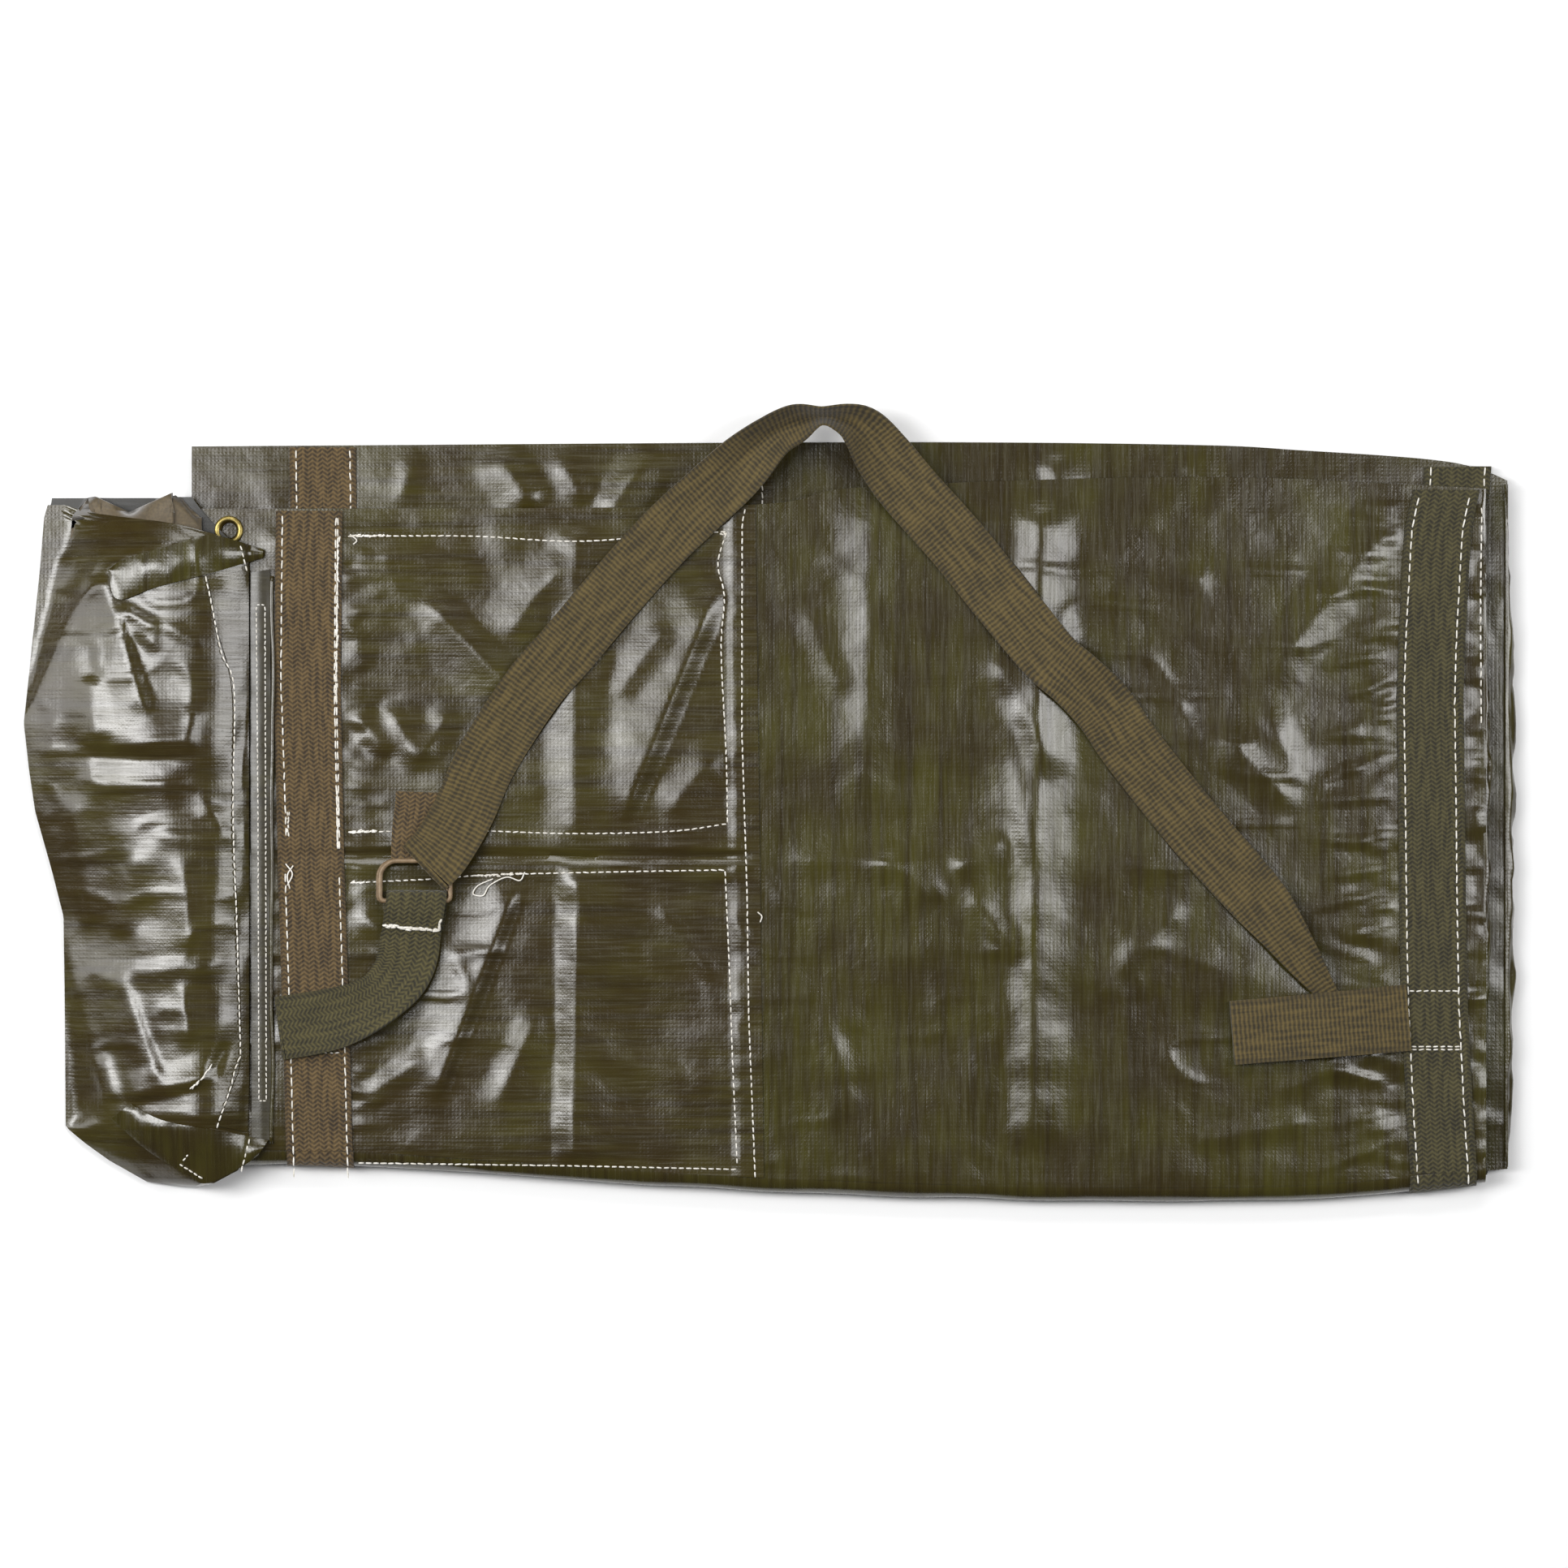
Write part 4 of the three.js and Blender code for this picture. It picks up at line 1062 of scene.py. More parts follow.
@dataclass(frozen=True)
class CrossWebbing:
    """A width of webbing across a sheet, from near its long fold to its free edge."""

    name: str
    pack: Pack
    surface: Height
    centre: Callable[[Array], Array]  # X for each Y
    width: float = 40.0
    face: float = 1.0  # -1 where it lies below its sheet
    from_fold: float = 8.5
    from_free: float = 1.0

    def build(self) -> bpy.types.Object:
        """The webbing, pressed to its sheet."""
        start_x = float(self.centre(np.array(-200.0)))
        end_x = float(self.centre(np.array(180.0)))
        y = np.arange(
            float(self.pack.fold.at(start_x)) + self.from_fold,
            float(self.pack.free.at(end_x)) - self.from_free, 2.6)[:, None]
        across = np.linspace(1, -1, 15)[None, :]
        x = self.centre(y) + across * self.width / 2
        lift = WEBBING + 0.12 if self.face > 0 else -CLOTH - 0.15
        crown = 0.15 * (1 - across**4) * self.face
        z = self.surface(x, y + 0 * across) + lift + crown
        top = np.stack([x, y + 0 * across, z], axis=-1)
        weave = np.stack(np.broadcast_arrays(across * self.width / 2, y), axis=-1)
        return slab(f"sewn_{self.name}", top, WEBBING, weave)

    def rows(self, sewing: Sewing, insets: Sequence[float], bottom: float, top: float) -> None:
        """Sews rows along the webbing.

        Args:
            sewing: Where the stitches go.
            insets: From the webbing's middle, positive to the right.
            bottom: Y of the first stitch.
            top: Y of the last one.
        """
        y = np.linspace(bottom, top, 40)
        for inset in insets:
            sewing.row(np.column_stack([self.centre(y) + inset, y]), pitch=6.7)


@dataclass
class LappedSheet:
    """One sheet of a pack: an end panel lapped and sewn on a middle panel."""

    stem: str
    pack: Pack
    relief: Relief
    mount: Mount
    fold_radius: float
    end_radius: float
    step: float
    lap_side: float = 1.0
    end_lean: tuple[Point, ...] = ((-235.0, 0.0), (215.0, 0.0))
    hole: tuple[float, float, float] | None = None

    def seam_at(self, y: Array) -> Array:
        """Where the end panel stops, for each Y."""
        ys, leans = zip(*self.end_lean)
        return self.pack.seam + np.interp(y, ys, leans)

    def surface(self, x: Array, y: Array) -> Array:
        """The upper face of the whole sheet, with the step at its lap."""
        x = np.asarray(x, float)
        start = self.seam_at(y)
        lapped = rise(-SEAM_LAP - 5.0, -SEAM_LAP, x - start) * (x < start + 0.01)
        return self.relief.height(x, y) + self.lap_side * (CLOTH + 0.12) * lapped

    def build(self, finishes: Finishes) -> None:
        """Builds and dresses the two panels."""
        pack = self.pack
        right_end = pack.right - self.end_radius
        end = panel(
            f"{self.stem}_end_cloth", pack, self.surface, lambda y: pack.left + 0 * y, self.seam_at,
            self.step, self.fold_radius, hole=self.hole)
        middle = panel(
            f"{self.stem}_middle_cloth", pack, self.relief.height, lambda y: self.seam_at(y) - SEAM_LAP,
            lambda y: right_end + 0 * y, self.step, self.fold_radius)
        depth = float(pack.free.at(0.0) - pack.fold.at(0.0))
        fit(end, self.mount, finishes.lengthwise, [f"{self.stem}_end_panel"],
            flat=(depth, pack.seam - pack.left))
        fit(middle, self.mount, finishes.crosswise, [f"{self.stem}_middle_panel"],
            flat=(depth, right_end - pack.seam + SEAM_LAP))


@dataclass
class Packs:
    """Both halves of the stretcher, with the folds that join their sheets and the webbing across them."""

    finishes: Finishes
    face: LappedSheet = field(init=False)
    hidden: tuple[LappedSheet, ...] = field(init=False)
    left_face_webbing: CrossWebbing = field(init=False)
    right_face_webbing: CrossWebbing = field(init=False)

    face_creases: tuple[Crease, ...] = tuple(Crease(*row) for row in (
        ((-116, -36), (-119, -224), 4.0, 42, 12, 0.08),
        ((-116, 172), (-117, -28), 2.4, 24, 20, 0.08),
        ((-28, 136), (-92, -20), 3.8, 10, 40, 0.15),
        ((-150, -46), (-204, -186), 3.4, 7, 26, 0.15),
        ((-120, 150), (-160, 96), 2.0, 16, 24, 0.3),
        ((-300, -32), (-8, -33), -1.8, 3, 3, 0.03),
        ((-300, -26), (-12, -27), 1.1, 10, 5, 0.05),
        ((-300, -38), (-12, -40), 1.0, 5, 12, 0.05),
        ((-210, 126), (-146, 60), 3.8, 14, 26, 0.25),
        ((-232, 62), (-206, 18), 2.2, 17, 14, 0.3),
        ((-190, 60), (-212, 20), 1.6, 13, 12, 0.3),
        ((-66, -12), (-26, 34), 2.2, 18, 18, 0.3),
        ((-250, 58), (-228, 26), 1.6, 11, 11, 0.3),
        ((-168, -190), (-134, -120), 1.8, 14, 18, 0.3),
        ((-248, -60), (-215, -100), 1.3, 9, 12),
        ((-246, -180), (-205, -150), 1.2, 9, 12),
        ((-70, -60), (-30, -110), 1.2, 12, 9),
        ((-112, -150), (-30, -170), 0.9, 12, 14),
        ((-95, 60), (-60, 110), 1.0, 12, 12),
        ((-240, 150), (-170, 140), 0.9, 10, 12),
        ((163, 188), (157, -216), 3.0, 26, 17, 0.06),
        ((62, 190), (57, -20), 1.5, 20, 22, 0.2),
        ((2, -34), (112, -38), 1.6, 18, 15, 0.25),
        ((60, -28), (104, -62), 1.9, 15, 18, 0.3),
        ((106, -44), (146, -20), 2.2, 13, 16, 0.3),
        ((116, -48), (152, -98), 2.0, 16, 13, 0.3),
        ((140, 62), (158, -45), 1.6, 14, 18, 0.25),
        ((132, 96), (175, 12), 1.8, 20, 15, 0.25),
        ((268, 46), (320, -8), 2.4, 18, 18, 0.3),
        ((297, 60), (320, 6), 1.5, 14, 16, 0.3),
        ((376, 172), (296, 70), 2.0, 20, 20, 0.25),
        ((300, -175), (372, -150), 1.3, 10, 12),
        ((250, -205), (330, -190), 1.2, 10, 12),
        ((20, 120), (46, 60), 0.9, 12, 12),
        ((200, 150), (270, 130), 0.9, 12, 14),
        ((196, -120), (250, -60), 1.1, 14, 12),
        ((30, -120), (52, -190), 0.9, 12, 14),
    ))

    def webbing_pulls(self) -> tuple[Crease, ...]:
        """Short wrinkles that fan out from the right webbing's tight stitches."""
        random = np.random.default_rng(12)
        fan = []
        for k in range(44):
            y = -222 + 9.3 * k + random.uniform(-3, 3)
            reach = random.uniform(16, 64)
            rise_by = random.uniform(-0.42, 0.42) * reach
            tall = random.uniform(0.4, 1.15)
            fan.append(Crease((380, y), (380 - reach, y + rise_by), tall, 4.5, 5.5, 0.35))
        for k in range(30):
            y = -210 + 12.8 * k + random.uniform(-4, 4)
            reach = random.uniform(10, 30)
            fan.append(Crease((-252, y), (-252 + reach, y + random.uniform(-6, 6)), 0.6, 4, 4, 0.35))
        return tuple(fan)

    def build_sheets(self) -> None:
        """Builds the four sheets."""
        eyelet = Extent.of("eyelet")
        centre = (eyelet.low + eyelet.high) / 2
        outer_radius = (UPPER_OUTER - Extent.of("lower_outer_middle_panel").low[2]) / 2
        inner_radius = (UPPER_INNER - 1.2 - LOWER_INNER + 2 * CLOTH) / 2
        lower_inner_relief = Relief(
            LOWER_PACK, LOWER_INNER, (
                Crease((-165, 214), (-140, 176), 3.0, 14, 22), Crease((-70, 214), (-100, 170), 2.8, 20, 14),
                Crease((-128, 212), (-110, 180), 2.0, 12, 12), Crease((170, 212), (176, 180), 2.8, 20, 12),
                Crease((-215, 212), (-222, 180), 1.2, 10, 8), Crease((60, 212), (90, 182), 1.4, 12, 9),
                Crease((250, 208), (268, 184), 1.2, 10, 10)),
            0.8, 31, ((0.0, 9.0, 0.3), (390.0, 10.0, 0.4), (-245.0, 8.0, 0.3)))
        sheets = (
            LappedSheet("lower_outer", LOWER_PACK, Relief(
                LOWER_PACK, Extent.of("lower_outer_middle_panel").low[2] + CLOTH, (), 0.12, 21),
                LOWER, outer_radius, 5.4, 7.0, lap_side=-1.0),
            LappedSheet("lower_inner", LOWER_PACK, lower_inner_relief, LOWER, 5.0 + inner_radius, 5.4, 4.0),
            LappedSheet("upper_inner", UPPER_PACK, Relief(
                UPPER_PACK, UPPER_INNER, (), 0.3, 41, ((380.0, 12.0, 0.3), (-252.0, 8.0, 0.2)), side=-1.0),
                UPPER, 5.0 + inner_radius, 3.15, 5.0, lap_side=-1.0),
        )
        for sheet in sheets:
            sheet.build(self.finishes)
        self.hidden = sheets
        pulls = (
            (UPPER_PACK.seam - 11.0, 7.0, 0.35), (-298.0, 7.0, 0.35), (-252.0, 9.0, 0.4),
            (380.0, 20.0, 0.7), (426.0, 8.0, 0.8))
        relief = Relief(UPPER_PACK, UPPER_OUTER, self.face_creases + self.webbing_pulls(), 1.15, 3, pulls)
        self.face = LappedSheet(
            "upper_outer", UPPER_PACK, relief, UPPER, outer_radius, 3.15, 2.6,
            end_lean=((-235.0, 2.8), (180.0, -2.5)), hole=(centre[0], centre[1], 6.4))
        self.face.build(self.finishes)
        for name in ("upper_backing_patch", "lower_backing_patch"):
            box = Extent.of(name)
            x = np.linspace(box.low[0], box.high[0], 60)[:, None]
            y = np.linspace(box.low[1], box.high[1], 46)[None, :]
            z = relief.height(x, y) - CLOTH - 0.3
            piece = slab(f"{name}_cloth", np.stack([x + 0 * y, y + 0 * x, z], axis=-1), CLOTH)
            fit(piece, UPPER, self.finishes.lengthwise, [name],
                flat=(box.high[0] - box.low[0], box.high[1] - box.low[1]))

    def build_folds(self) -> None:
        """Builds the long folds' and the cross folds' turning cloth."""
        low = Extent.of("lower_outer_middle_panel").low[2]
        inner_high, inner_low = UPPER_INNER - 1.2 + CLOTH, LOWER_INNER - CLOTH
        upper_end = UPPER_PACK.right
        bands = (
            ("outer_long_fold", UPPER_OUTER - 0.05, low + 0.05, UPPER_PACK.left, upper_end - 3.15, 0.0, 3.0,
             ["upper_outer_long_fold", "lower_outer_long_fold"]),
            ("inner_long_fold", inner_high, inner_low, UPPER_PACK.left + 1, upper_end - 4, 3.0, 2.0,
             ["upper_inner_long_fold", "lower_inner_long_fold"]),
        )
        for name, top, bottom, left, right, inset, margin, nodes in bands:
            piece = fold_band(name, UPPER_PACK, LOWER_PACK, top, bottom, left, right, inset, margin=margin)
            bend = Mount("lower_pack", "upper_pack", (0.0, FOLD_EDGE, bottom), (0.0, FOLD_EDGE, top))
            fit(piece, bend, self.finishes.crosswise, nodes,
                flat=(math.pi * (top - bottom) / 2 + 2 * margin, right - left))
        folds = (
            ("upper_cross_fold", UPPER_PACK, UPPER_OUTER, Extent.of("upper_inner_middle_panel").low[2],
             UPPER, 51),
            ("lower_cross_fold", LOWER_PACK, Extent.of("lower_cross_fold").high[2], low, LOWER, 61),
        )
        for name, pack, top, bottom, mount, seed in folds:
            margin = 1.5
            piece = cross_fold(f"{name}_cloth", pack, top, bottom, seed, 9.0, margin)
            depth = float(pack.free.at(pack.right) - pack.fold.at(pack.right))
            fit(piece, mount, self.finishes.crosswise, [name],
                flat=(math.pi * (top - bottom) / 2 + 2 * margin, depth))

    def build_webbing(self) -> None:
        """Lays and sews the webbing on all four sheets."""
        finishes = self.finishes
        left_lean = ((-235, 4.2), (-147, 2.0), (-34, -1.5), (67, -3.6), (174, -2.6), (215, -3.2))
        right_bow = ((-235, 4.1), (-191, 1.2), (-123, -2.2), (-79, -3.0), (-20, -3.7), (63, -4.7),
                     (102, -3.5), (165, 0.0), (187, 5.0), (215, 6.0))

        def centre(node: str, lean: Sequence[Point]) -> Callable[[Array], Array]:
            """A webbing's middle, about the middle of its node."""
            box = Extent.of(node)
            middle = (box.low[0] + box.high[0]) / 2
            return ends_at(*((y, middle + offset) for y, offset in lean))

        self.left_face_webbing = CrossWebbing(
            "left_cross_webbing", UPPER_PACK, self.face.surface, centre("left_cross_webbing", left_lean))
        self.right_face_webbing = CrossWebbing(
            "right_cross_webbing", UPPER_PACK, self.face.surface, centre("right_cross_webbing", right_bow))
        bowed = finishes.green_webbing
        face = ((self.left_face_webbing, finishes.brown_webbing), (self.right_face_webbing, bowed))
        for webbing, finish in face:
            piece = webbing.build()
            fit(piece, UPPER, finish, [webbing.name], flat=(CROSS_WIDTH, 400))
        lower_outer, lower_inner, upper_inner = self.hidden
        hidden = (
            ("lower_inner_left_webbing", lower_inner, 1.0, left_lean, LOWER),
            ("lower_inner_right_webbing", lower_inner, 1.0, right_bow, LOWER),
            ("upper_inner_left_webbing", upper_inner, -1.0, left_lean, UPPER),
            ("upper_inner_right_webbing", upper_inner, -1.0, right_bow, UPPER),
            ("lower_outer_left_webbing", lower_outer, -1.0, left_lean, LOWER),
            ("lower_outer_right_webbing", lower_outer, -1.0, right_bow, LOWER),
        )
        for name, sheet, side, lean, mount in hidden:
            webbing = CrossWebbing(
                name, sheet.pack, sheet.surface, centre(name, lean), face=side, from_fold=sheet.fold_radius)
            finish = finishes.brown_webbing if "left" in name else bowed
            fit(webbing.build(), mount, finish, [name], flat=(CROSS_WIDTH, 430))
            above = WEBBING + 0.15 if side > 0 else -CLOTH - WEBBING - 0.15
            sewing = Sewing(f"{name}_stitching", raised(sheet.surface, above), seed=70)
            bottom = float(sheet.pack.fold.at(webbing.centre(0.0))) + sheet.fold_radius + 2
            top = float(sheet.pack.free.at(webbing.centre(180.0))) - 2
            webbing.rows(sewing, (-16.0, 16.5), bottom, top)
            fit(sewing.build(), mount, finishes.thread)

    def build_webbing_folds(self) -> None:
        """Carries the outer webbing round the long fold."""
        low = Extent.of("lower_outer_middle_panel").low[2]
        for name, webbing, finish in (
            ("left_webbing_fold", self.left_face_webbing, self.finishes.brown_webbing),
            ("right_webbing_fold", self.right_face_webbing, self.finishes.green_webbing),
        ):
            middle = float(webbing.centre(np.array(-225.0)))
            piece = fold_band(
                name, UPPER_PACK, LOWER_PACK, UPPER_OUTER, low, middle - 20, middle + 20,
                outward=WEBBING + 0.1, thickness=WEBBING)
            bend = Mount("lower_pack", "upper_pack", (0.0, FOLD_EDGE, low), (0.0, FOLD_EDGE, UPPER_OUTER))
            fit(piece, bend, finish, flat=(CROSS_WIDTH, math.pi * (UPPER_OUTER - low) / 2))

    def sew_face(self) -> None:
        """Sews the face: the lap seam, the two backing patches and the webbing."""
        seam = Sewing("face_seam_stitching", self.face.surface, seed=5)
        seam.row([(-14.4, 177), (-16.3, 168), (-16.5, 43), (-13.4, -54), (-12.4, -128), (-8.5, -226)])
        seam.row([(-253.4, 159.8), (-180, 160), (-116.3, 156.8), (-60, 161), (-25.6, 162.7)], smooth=True)
        seam.row([(-25.6, 162.7), (-31, 143.2), (-27, 123.7), (-29, 92), (-26, 30), (-25.1, -12.9)],
                 smooth=True)
        seam.row([(-25.1, -12.9), (-60, -17.5), (-120.7, -18.8), (-190, -16.8), (-253.4, -18.3)], smooth=True)
        seam.row([(-252.4, -48.5), (-200, -46), (-169.5, -43.7), (-100, -42), (-26.6, -40.7)], smooth=True)
        seam.row([(-26.6, -40.7), (-24, -100), (-22.2, -152), (-19.3, -217.8)], smooth=True)
        seam.row([(-19.3, -220.7), (-120, -218.5), (-247.6, -216.8)])
        seam.backtack([(-253, 160.4), (-228, 160.2)])
        seam.backtack([(-253, -18.0), (-236, -17.2)])
        seam.backtack([(-252, -48.2), (-243, -48.0)])
        seam.backtack([(-177, -44.4), (-148, -43.0)])
        seam.backtack([(-30, 162.0), (-26, 161.0)])
        fit(seam.build(), UPPER, self.finishes.thread)

        sewing = Sewing("webbing_stitching", raised(self.face.surface, WEBBING + 0.2), seed=9)
        left, right = self.left_face_webbing, self.right_face_webbing
        y = np.linspace(-21, 173, 40)
        sewing.row(np.column_stack([left.centre(y) - 16.0 + 0.012 * (100 - y) * (y < 60), y]), pitch=6.7)
        y = np.linspace(-226, -42, 30)
        sewing.row(np.column_stack([left.centre(y) - 15.6, y]), pitch=6.7)
        left.rows(sewing, (16.2, 17.4), -29, 172)
        left.rows(sewing, (16.8,), -226, -44)
        for low, high, count, aside in ((60, 160, 20, 17.4), (-28, 8, 9, 16.6)):
            y = np.linspace(low, high, count)
            sewing.backtack(np.column_stack([left.centre(y) + aside, y]), 4.0)
        sewing.backtack([(-289.4, -6), (-289.0, -21)])
        sewing.row([(-282, -150.5), (-258, -150.5)], pitch=3.6)
        right.rows(sewing, (-15.8, 14.6), -230, 184)
        for height in (-113.4, -146.8, -148.6):
            middle = float(right.centre(np.array(height)))
            sewing.row([(middle - 15.8, height), (middle + 14.6, height)], pitch=4.4)
        fit(sewing.build(), UPPER, self.finishes.thread)

        tails = (
            ("thread_tail_crossed", [(-290.5, -37, 0.6), (-286.5, -43, 1.6), (-289.5, -50, 0.8)]),
            ("thread_tail_upright", [(-286, -38, 1.2), (-289.5, -44, 1.0), (-288, -52, 0.6)]),
            ("thread_tail_loop", [(-166, -46, 0.6), (-175, -50, 2.0), (-178, -55, 2.4), (-172, -56, 1.6),
                                  (-168, -50, 1.4), (-158, -45, 1.6), (-150, -47, 1.2), (-147, -42, 0.6)]),
            ("thread_tail_corner", [(-252, 161, 0.4), (-248, 157.5, 0.8), (-250, 155, 0.6)]),
            ("thread_tail_seam", [(-7, -66, 0.4), (-4.5, -68.5, 1.4), (-5.5, -72, 0.6)]),
        )
        for name, points in tails:
            line = smooth_line(points)
            above = WEBBING + 0.4 if line[0, 0] < -280 else 0.3
            line[:, 2] += self.face.surface(line[:, 0], line[:, 1]) + above
            fit(tube(name, line, 0.42, 6), UPPER, self.finishes.thread)

        margin = Sewing("margin_stitching", self.face.surface, seed=15)
        margin.row([(428.3, 178), (427.6, 120), (428.0, 47)], pitch=5.4, smooth=True)
        fit(margin.build(), UPPER, self.finishes.thread)
        _, lower, _ = self.hidden
        strip = Sewing("lower_seam_stitching", lower.surface, seed=17)
        strip.row([(-4.5, 214), (-4.0, 120)])
        fit(strip.build(), LOWER, self.finishes.thread)

    def build(self) -> None:
        """Builds both packs."""
        self.build_sheets()
        self.build_folds()
        self.build_webbing()
        self.build_webbing_folds()
        self.sew_face()


# ---- Shoulder strap, its rings and its ends ----


@dataclass
class CarryStrap:
    """The shoulder strap, the two D-rings that it is threaded through, and both its sewn ends."""

    finishes: Finishes
    surface: Height
    wire: float = 1.5  # radius of a ring's wire

    def laid(self, rows: Sequence[Sequence[float]], clear: float = 1.35, step: float = 2.6) -> Ribbon:
        """A ribbon whose rows give their height above the cloth that they cross.

        Args:
            rows: X, Y, height above the cloth, width, gutter angle and roll angle.
            clear: From the cloth to the ribbon's middle.
            step: Spacing along the ribbon.

        Returns:
            The ribbon, resting on the highest cloth beneath it.
        """
        ribbon = Ribbon.through(rows, step)
        x, y = ribbon.route[:, 0], ribbon.route[:, 1]
        beneath = [self.surface(x + dx, y + dy) for dx in (-13, 0, 13) for dy in (-13, 0, 13)]
        bed = np.max(beneath, axis=0)
        window = np.ones(9) / 9
        bed = np.convolve(np.pad(bed, 4, mode="edge"), window, mode="valid")
        along = np.arange(len(x)) * step
        ribbon.route[:, 2] += bed + clear + 0.35 * soft_noise(along / 24, 0 * along, 77)
        return ribbon

    def build_shoulder_strap(self) -> None:
        """The long strap: two legs that meet in a turn past the free edge, where it stands nearly on edge."""
        rows = (
            (-205, -37.5, 9.6, 37, 0, 0), (-196.3, -27.6, 7.2, 37, 0, -3), (-183.2, -4.6, 1.5, 37, 0, -2),
            (-169.5, 26.1, 0.0, 37, 0, 0), (-142.7, 67.6, 0.0, 37, 4, 0), (-121.7, 92, 0.3, 37, 0, 2),
            (-93.9, 125.1, 0.0, 37, 0, 0), (-62.2, 160.2, 0.3, 37, 3, 2), (-25.6, 194.4, 1.0, 37, 12, 6),
            (-1.2, 218.8, 1.6, 37, 46, 8), (16, 228, 1.0, 37, 55, 4), (31.5, 231.5, 0.5, 37, 76, 0),
            (46, 228.5, 1.0, 37, 62, -4), (56, 222, 1.6, 37, 42, -8), (67.6, 208, 1.4, 37, 22, -6),
            (84.6, 187.1, 0.8, 37, 4, -3), (113.4, 154.9, 0.0, 37, 0, 0), (145.6, 114.9, 0.0, 37, 0, 2),
            (168.5, 87.6, 0.4, 36, 8, 6), (184, 74, 1.3, 36, 12, 4), (201.2, 56.3, 0.4, 37, 4, -4),
            (218.8, 31, 0.0, 37, 0, 0), (254.9, -14.4, 0.0, 37, 0, 0), (281, -44, 0.0, 36.5, 6, 0),
            (296.8, -61.7, 0.2, 35, 14, 4), (308, -76, 0.3, 31, 24, 6), (323.2, -97.5, 0.2, 23, 32, 6),
            (334.4, -113.9, -0.2, 15, 38, 0), (342, -126, -0.5, 13, 34, 0),
        )
        ribbon = self.laid(rows)
        piece = ribbon.build("shoulder_strap_webbing")
        fit(piece, STRAP_LIFT, self.finishes.strap, ["shoulder_strap"],
            flat=(STRAP_WIDTH, ribbon.length()))

    def build_ring_turn(self) -> None:
        """The strap's turn round the front ring's bow, and its loose tail beneath."""
        ring = Extent.of("front_d_ring")
        level = (ring.low[2] + ring.high[2]) / 2
        heading = units(np.array([-0.72, -0.69, 0.0]))
        side = np.array([-heading[1], heading[0], 0.0])
        centre = np.array([-205.0, -37.5, level])
        bend = folded_end(centre, heading, self.wire + 1.1, 90, 15)
        back = bend[-1] - heading * np.array([[2.0], [5.0]]) - np.array([0, 0, 0.3])
        turned = Ribbon.turning(np.vstack([bend, back]), 36.5, side)
        fit(turned.build("strap_ring_turn"), CARRY, self.finishes.strap,
            flat=(STRAP_WIDTH, turned.length()))
        rows = ((-209, -36, 5.6, 36, 0, 0), (-209, -28, 4.4, 36, 0, 0), (-208.5, -16, 1.6, 36, 0, 0),
                (-207, -4, 0.2, 36, 0, 0), (-206.5, 6, 0.0, 36, 0, 0))
        tail = self.laid(rows)
        fit(tail.build("strap_tail_webbing"), CARRY, self.finishes.brown_webbing,
            ["strap_tail"], flat=(STRAP_WIDTH, tail.length()))

    def build_rings(self) -> None:
        """Two D-rings of round wire, one behind the other."""
        for name, shift in (("front_d_ring", 0.0), ("back_d_ring", -1.2)):
            box = Extent.of(name)
            low, high = box.low + self.wire, box.high - self.wire
            level = (low[2] + high[2]) / 2
            corners = (
                (low[0] + 2.5, low[1] + 2.5, 2.5, 180, 270), (high[0] - 2.5, low[1] + 2.5, 2.5, 270, 360),
                (high[0] - 10, high[1] - 10, 10, 0, 90), (low[0] + 10, high[1] - 10, 10, 90, 180))
            outline = []
            for x, y, radius, start, end in corners:
                angles = np.radians(np.linspace(start, end, 10))
                outline.append(np.column_stack([x + radius * np.cos(angles), y + radius * np.sin(angles)]))
            flat = np.vstack(outline)
            path = np.column_stack([flat[:, 0] + shift, flat[:, 1], np.full(len(flat), level)])
            path = evenly(np.vstack([path, path[:1]]), 1.5)[:-1]
            wire = tube(f"{name}_wire", path, self.wire, 14, closed=True)
            fit(wire, CARRY, self.finishes.enamel, [name])

    def build_ring_strap(self) -> None:
        """The rings' short strap: looped round their bars, sewn, and turned to its folded end."""
        front, back = Extent.of("front_d_ring"), Extent.of("back_d_ring")
        bar_y = front.low[1] + self.wire
        high, low = front.high[2] + 0.3 + WEBBING / 2, back.low[2] - 0.3 - WEBBING / 2
        radius, middle = (high - low) / 2, (high + low) / 2
        turn = np.radians(np.linspace(-90, 90, 17))
        bend = np.column_stack([
            np.full(17, -211.5), bar_y + 2.5 + 0.6 * radius * np.cos(turn), middle + radius * np.sin(turn)])
        start = np.array([[-214.0, bar_y - 18, low], [-212.5, bar_y - 8, low]])
        over = np.array([[-213.0, bar_y - 7, high - 0.6], [-214.5, bar_y - 16, high - 4.0],
                         [-215.6, bar_y - 24, high - 6.8]])
        route = evenly(smooth_line(np.vstack([start, bend, over]), 4), 1.6)
        loop = Ribbon.turning(route, 36.0, np.array([1.0, 0, 0]))
        fit(loop.build("ring_strap_loop"), CARRY, self.finishes.ring_strap,
            flat=(STRAP_WIDTH, loop.length()))
        rows = ((-215.4, -80, 2.6, 36, 0, 0), (-217, -92, 1.6, 36, 0, 0), (-222, -105, 1.6, 35, 4, 10),
                (-232, -117, 2.6, 34, 14, 18), (-246, -125, 3.4, 35, 14, 12), (-262, -130, 3.2, 37, 6, 4),
                (-280, -133.5, 3.0, 38, 0, 0), (-293, -135.5, 2.6, 38, 0, 0))
        ribbon = self.laid(rows)
        fit(ribbon.build("ring_strap_webbing"), STRAP_LIFT, self.finishes.ring_strap,
            ["ring_strap"], flat=(STRAP_WIDTH, ribbon.length()))
        last = ribbon.route[-1]
        heading = units(np.array([-0.99, -0.13, 0.0]))
        radius = 1.15
        bend = folded_end(last + np.array([0, 0, -radius]), heading, radius, 90, 9)
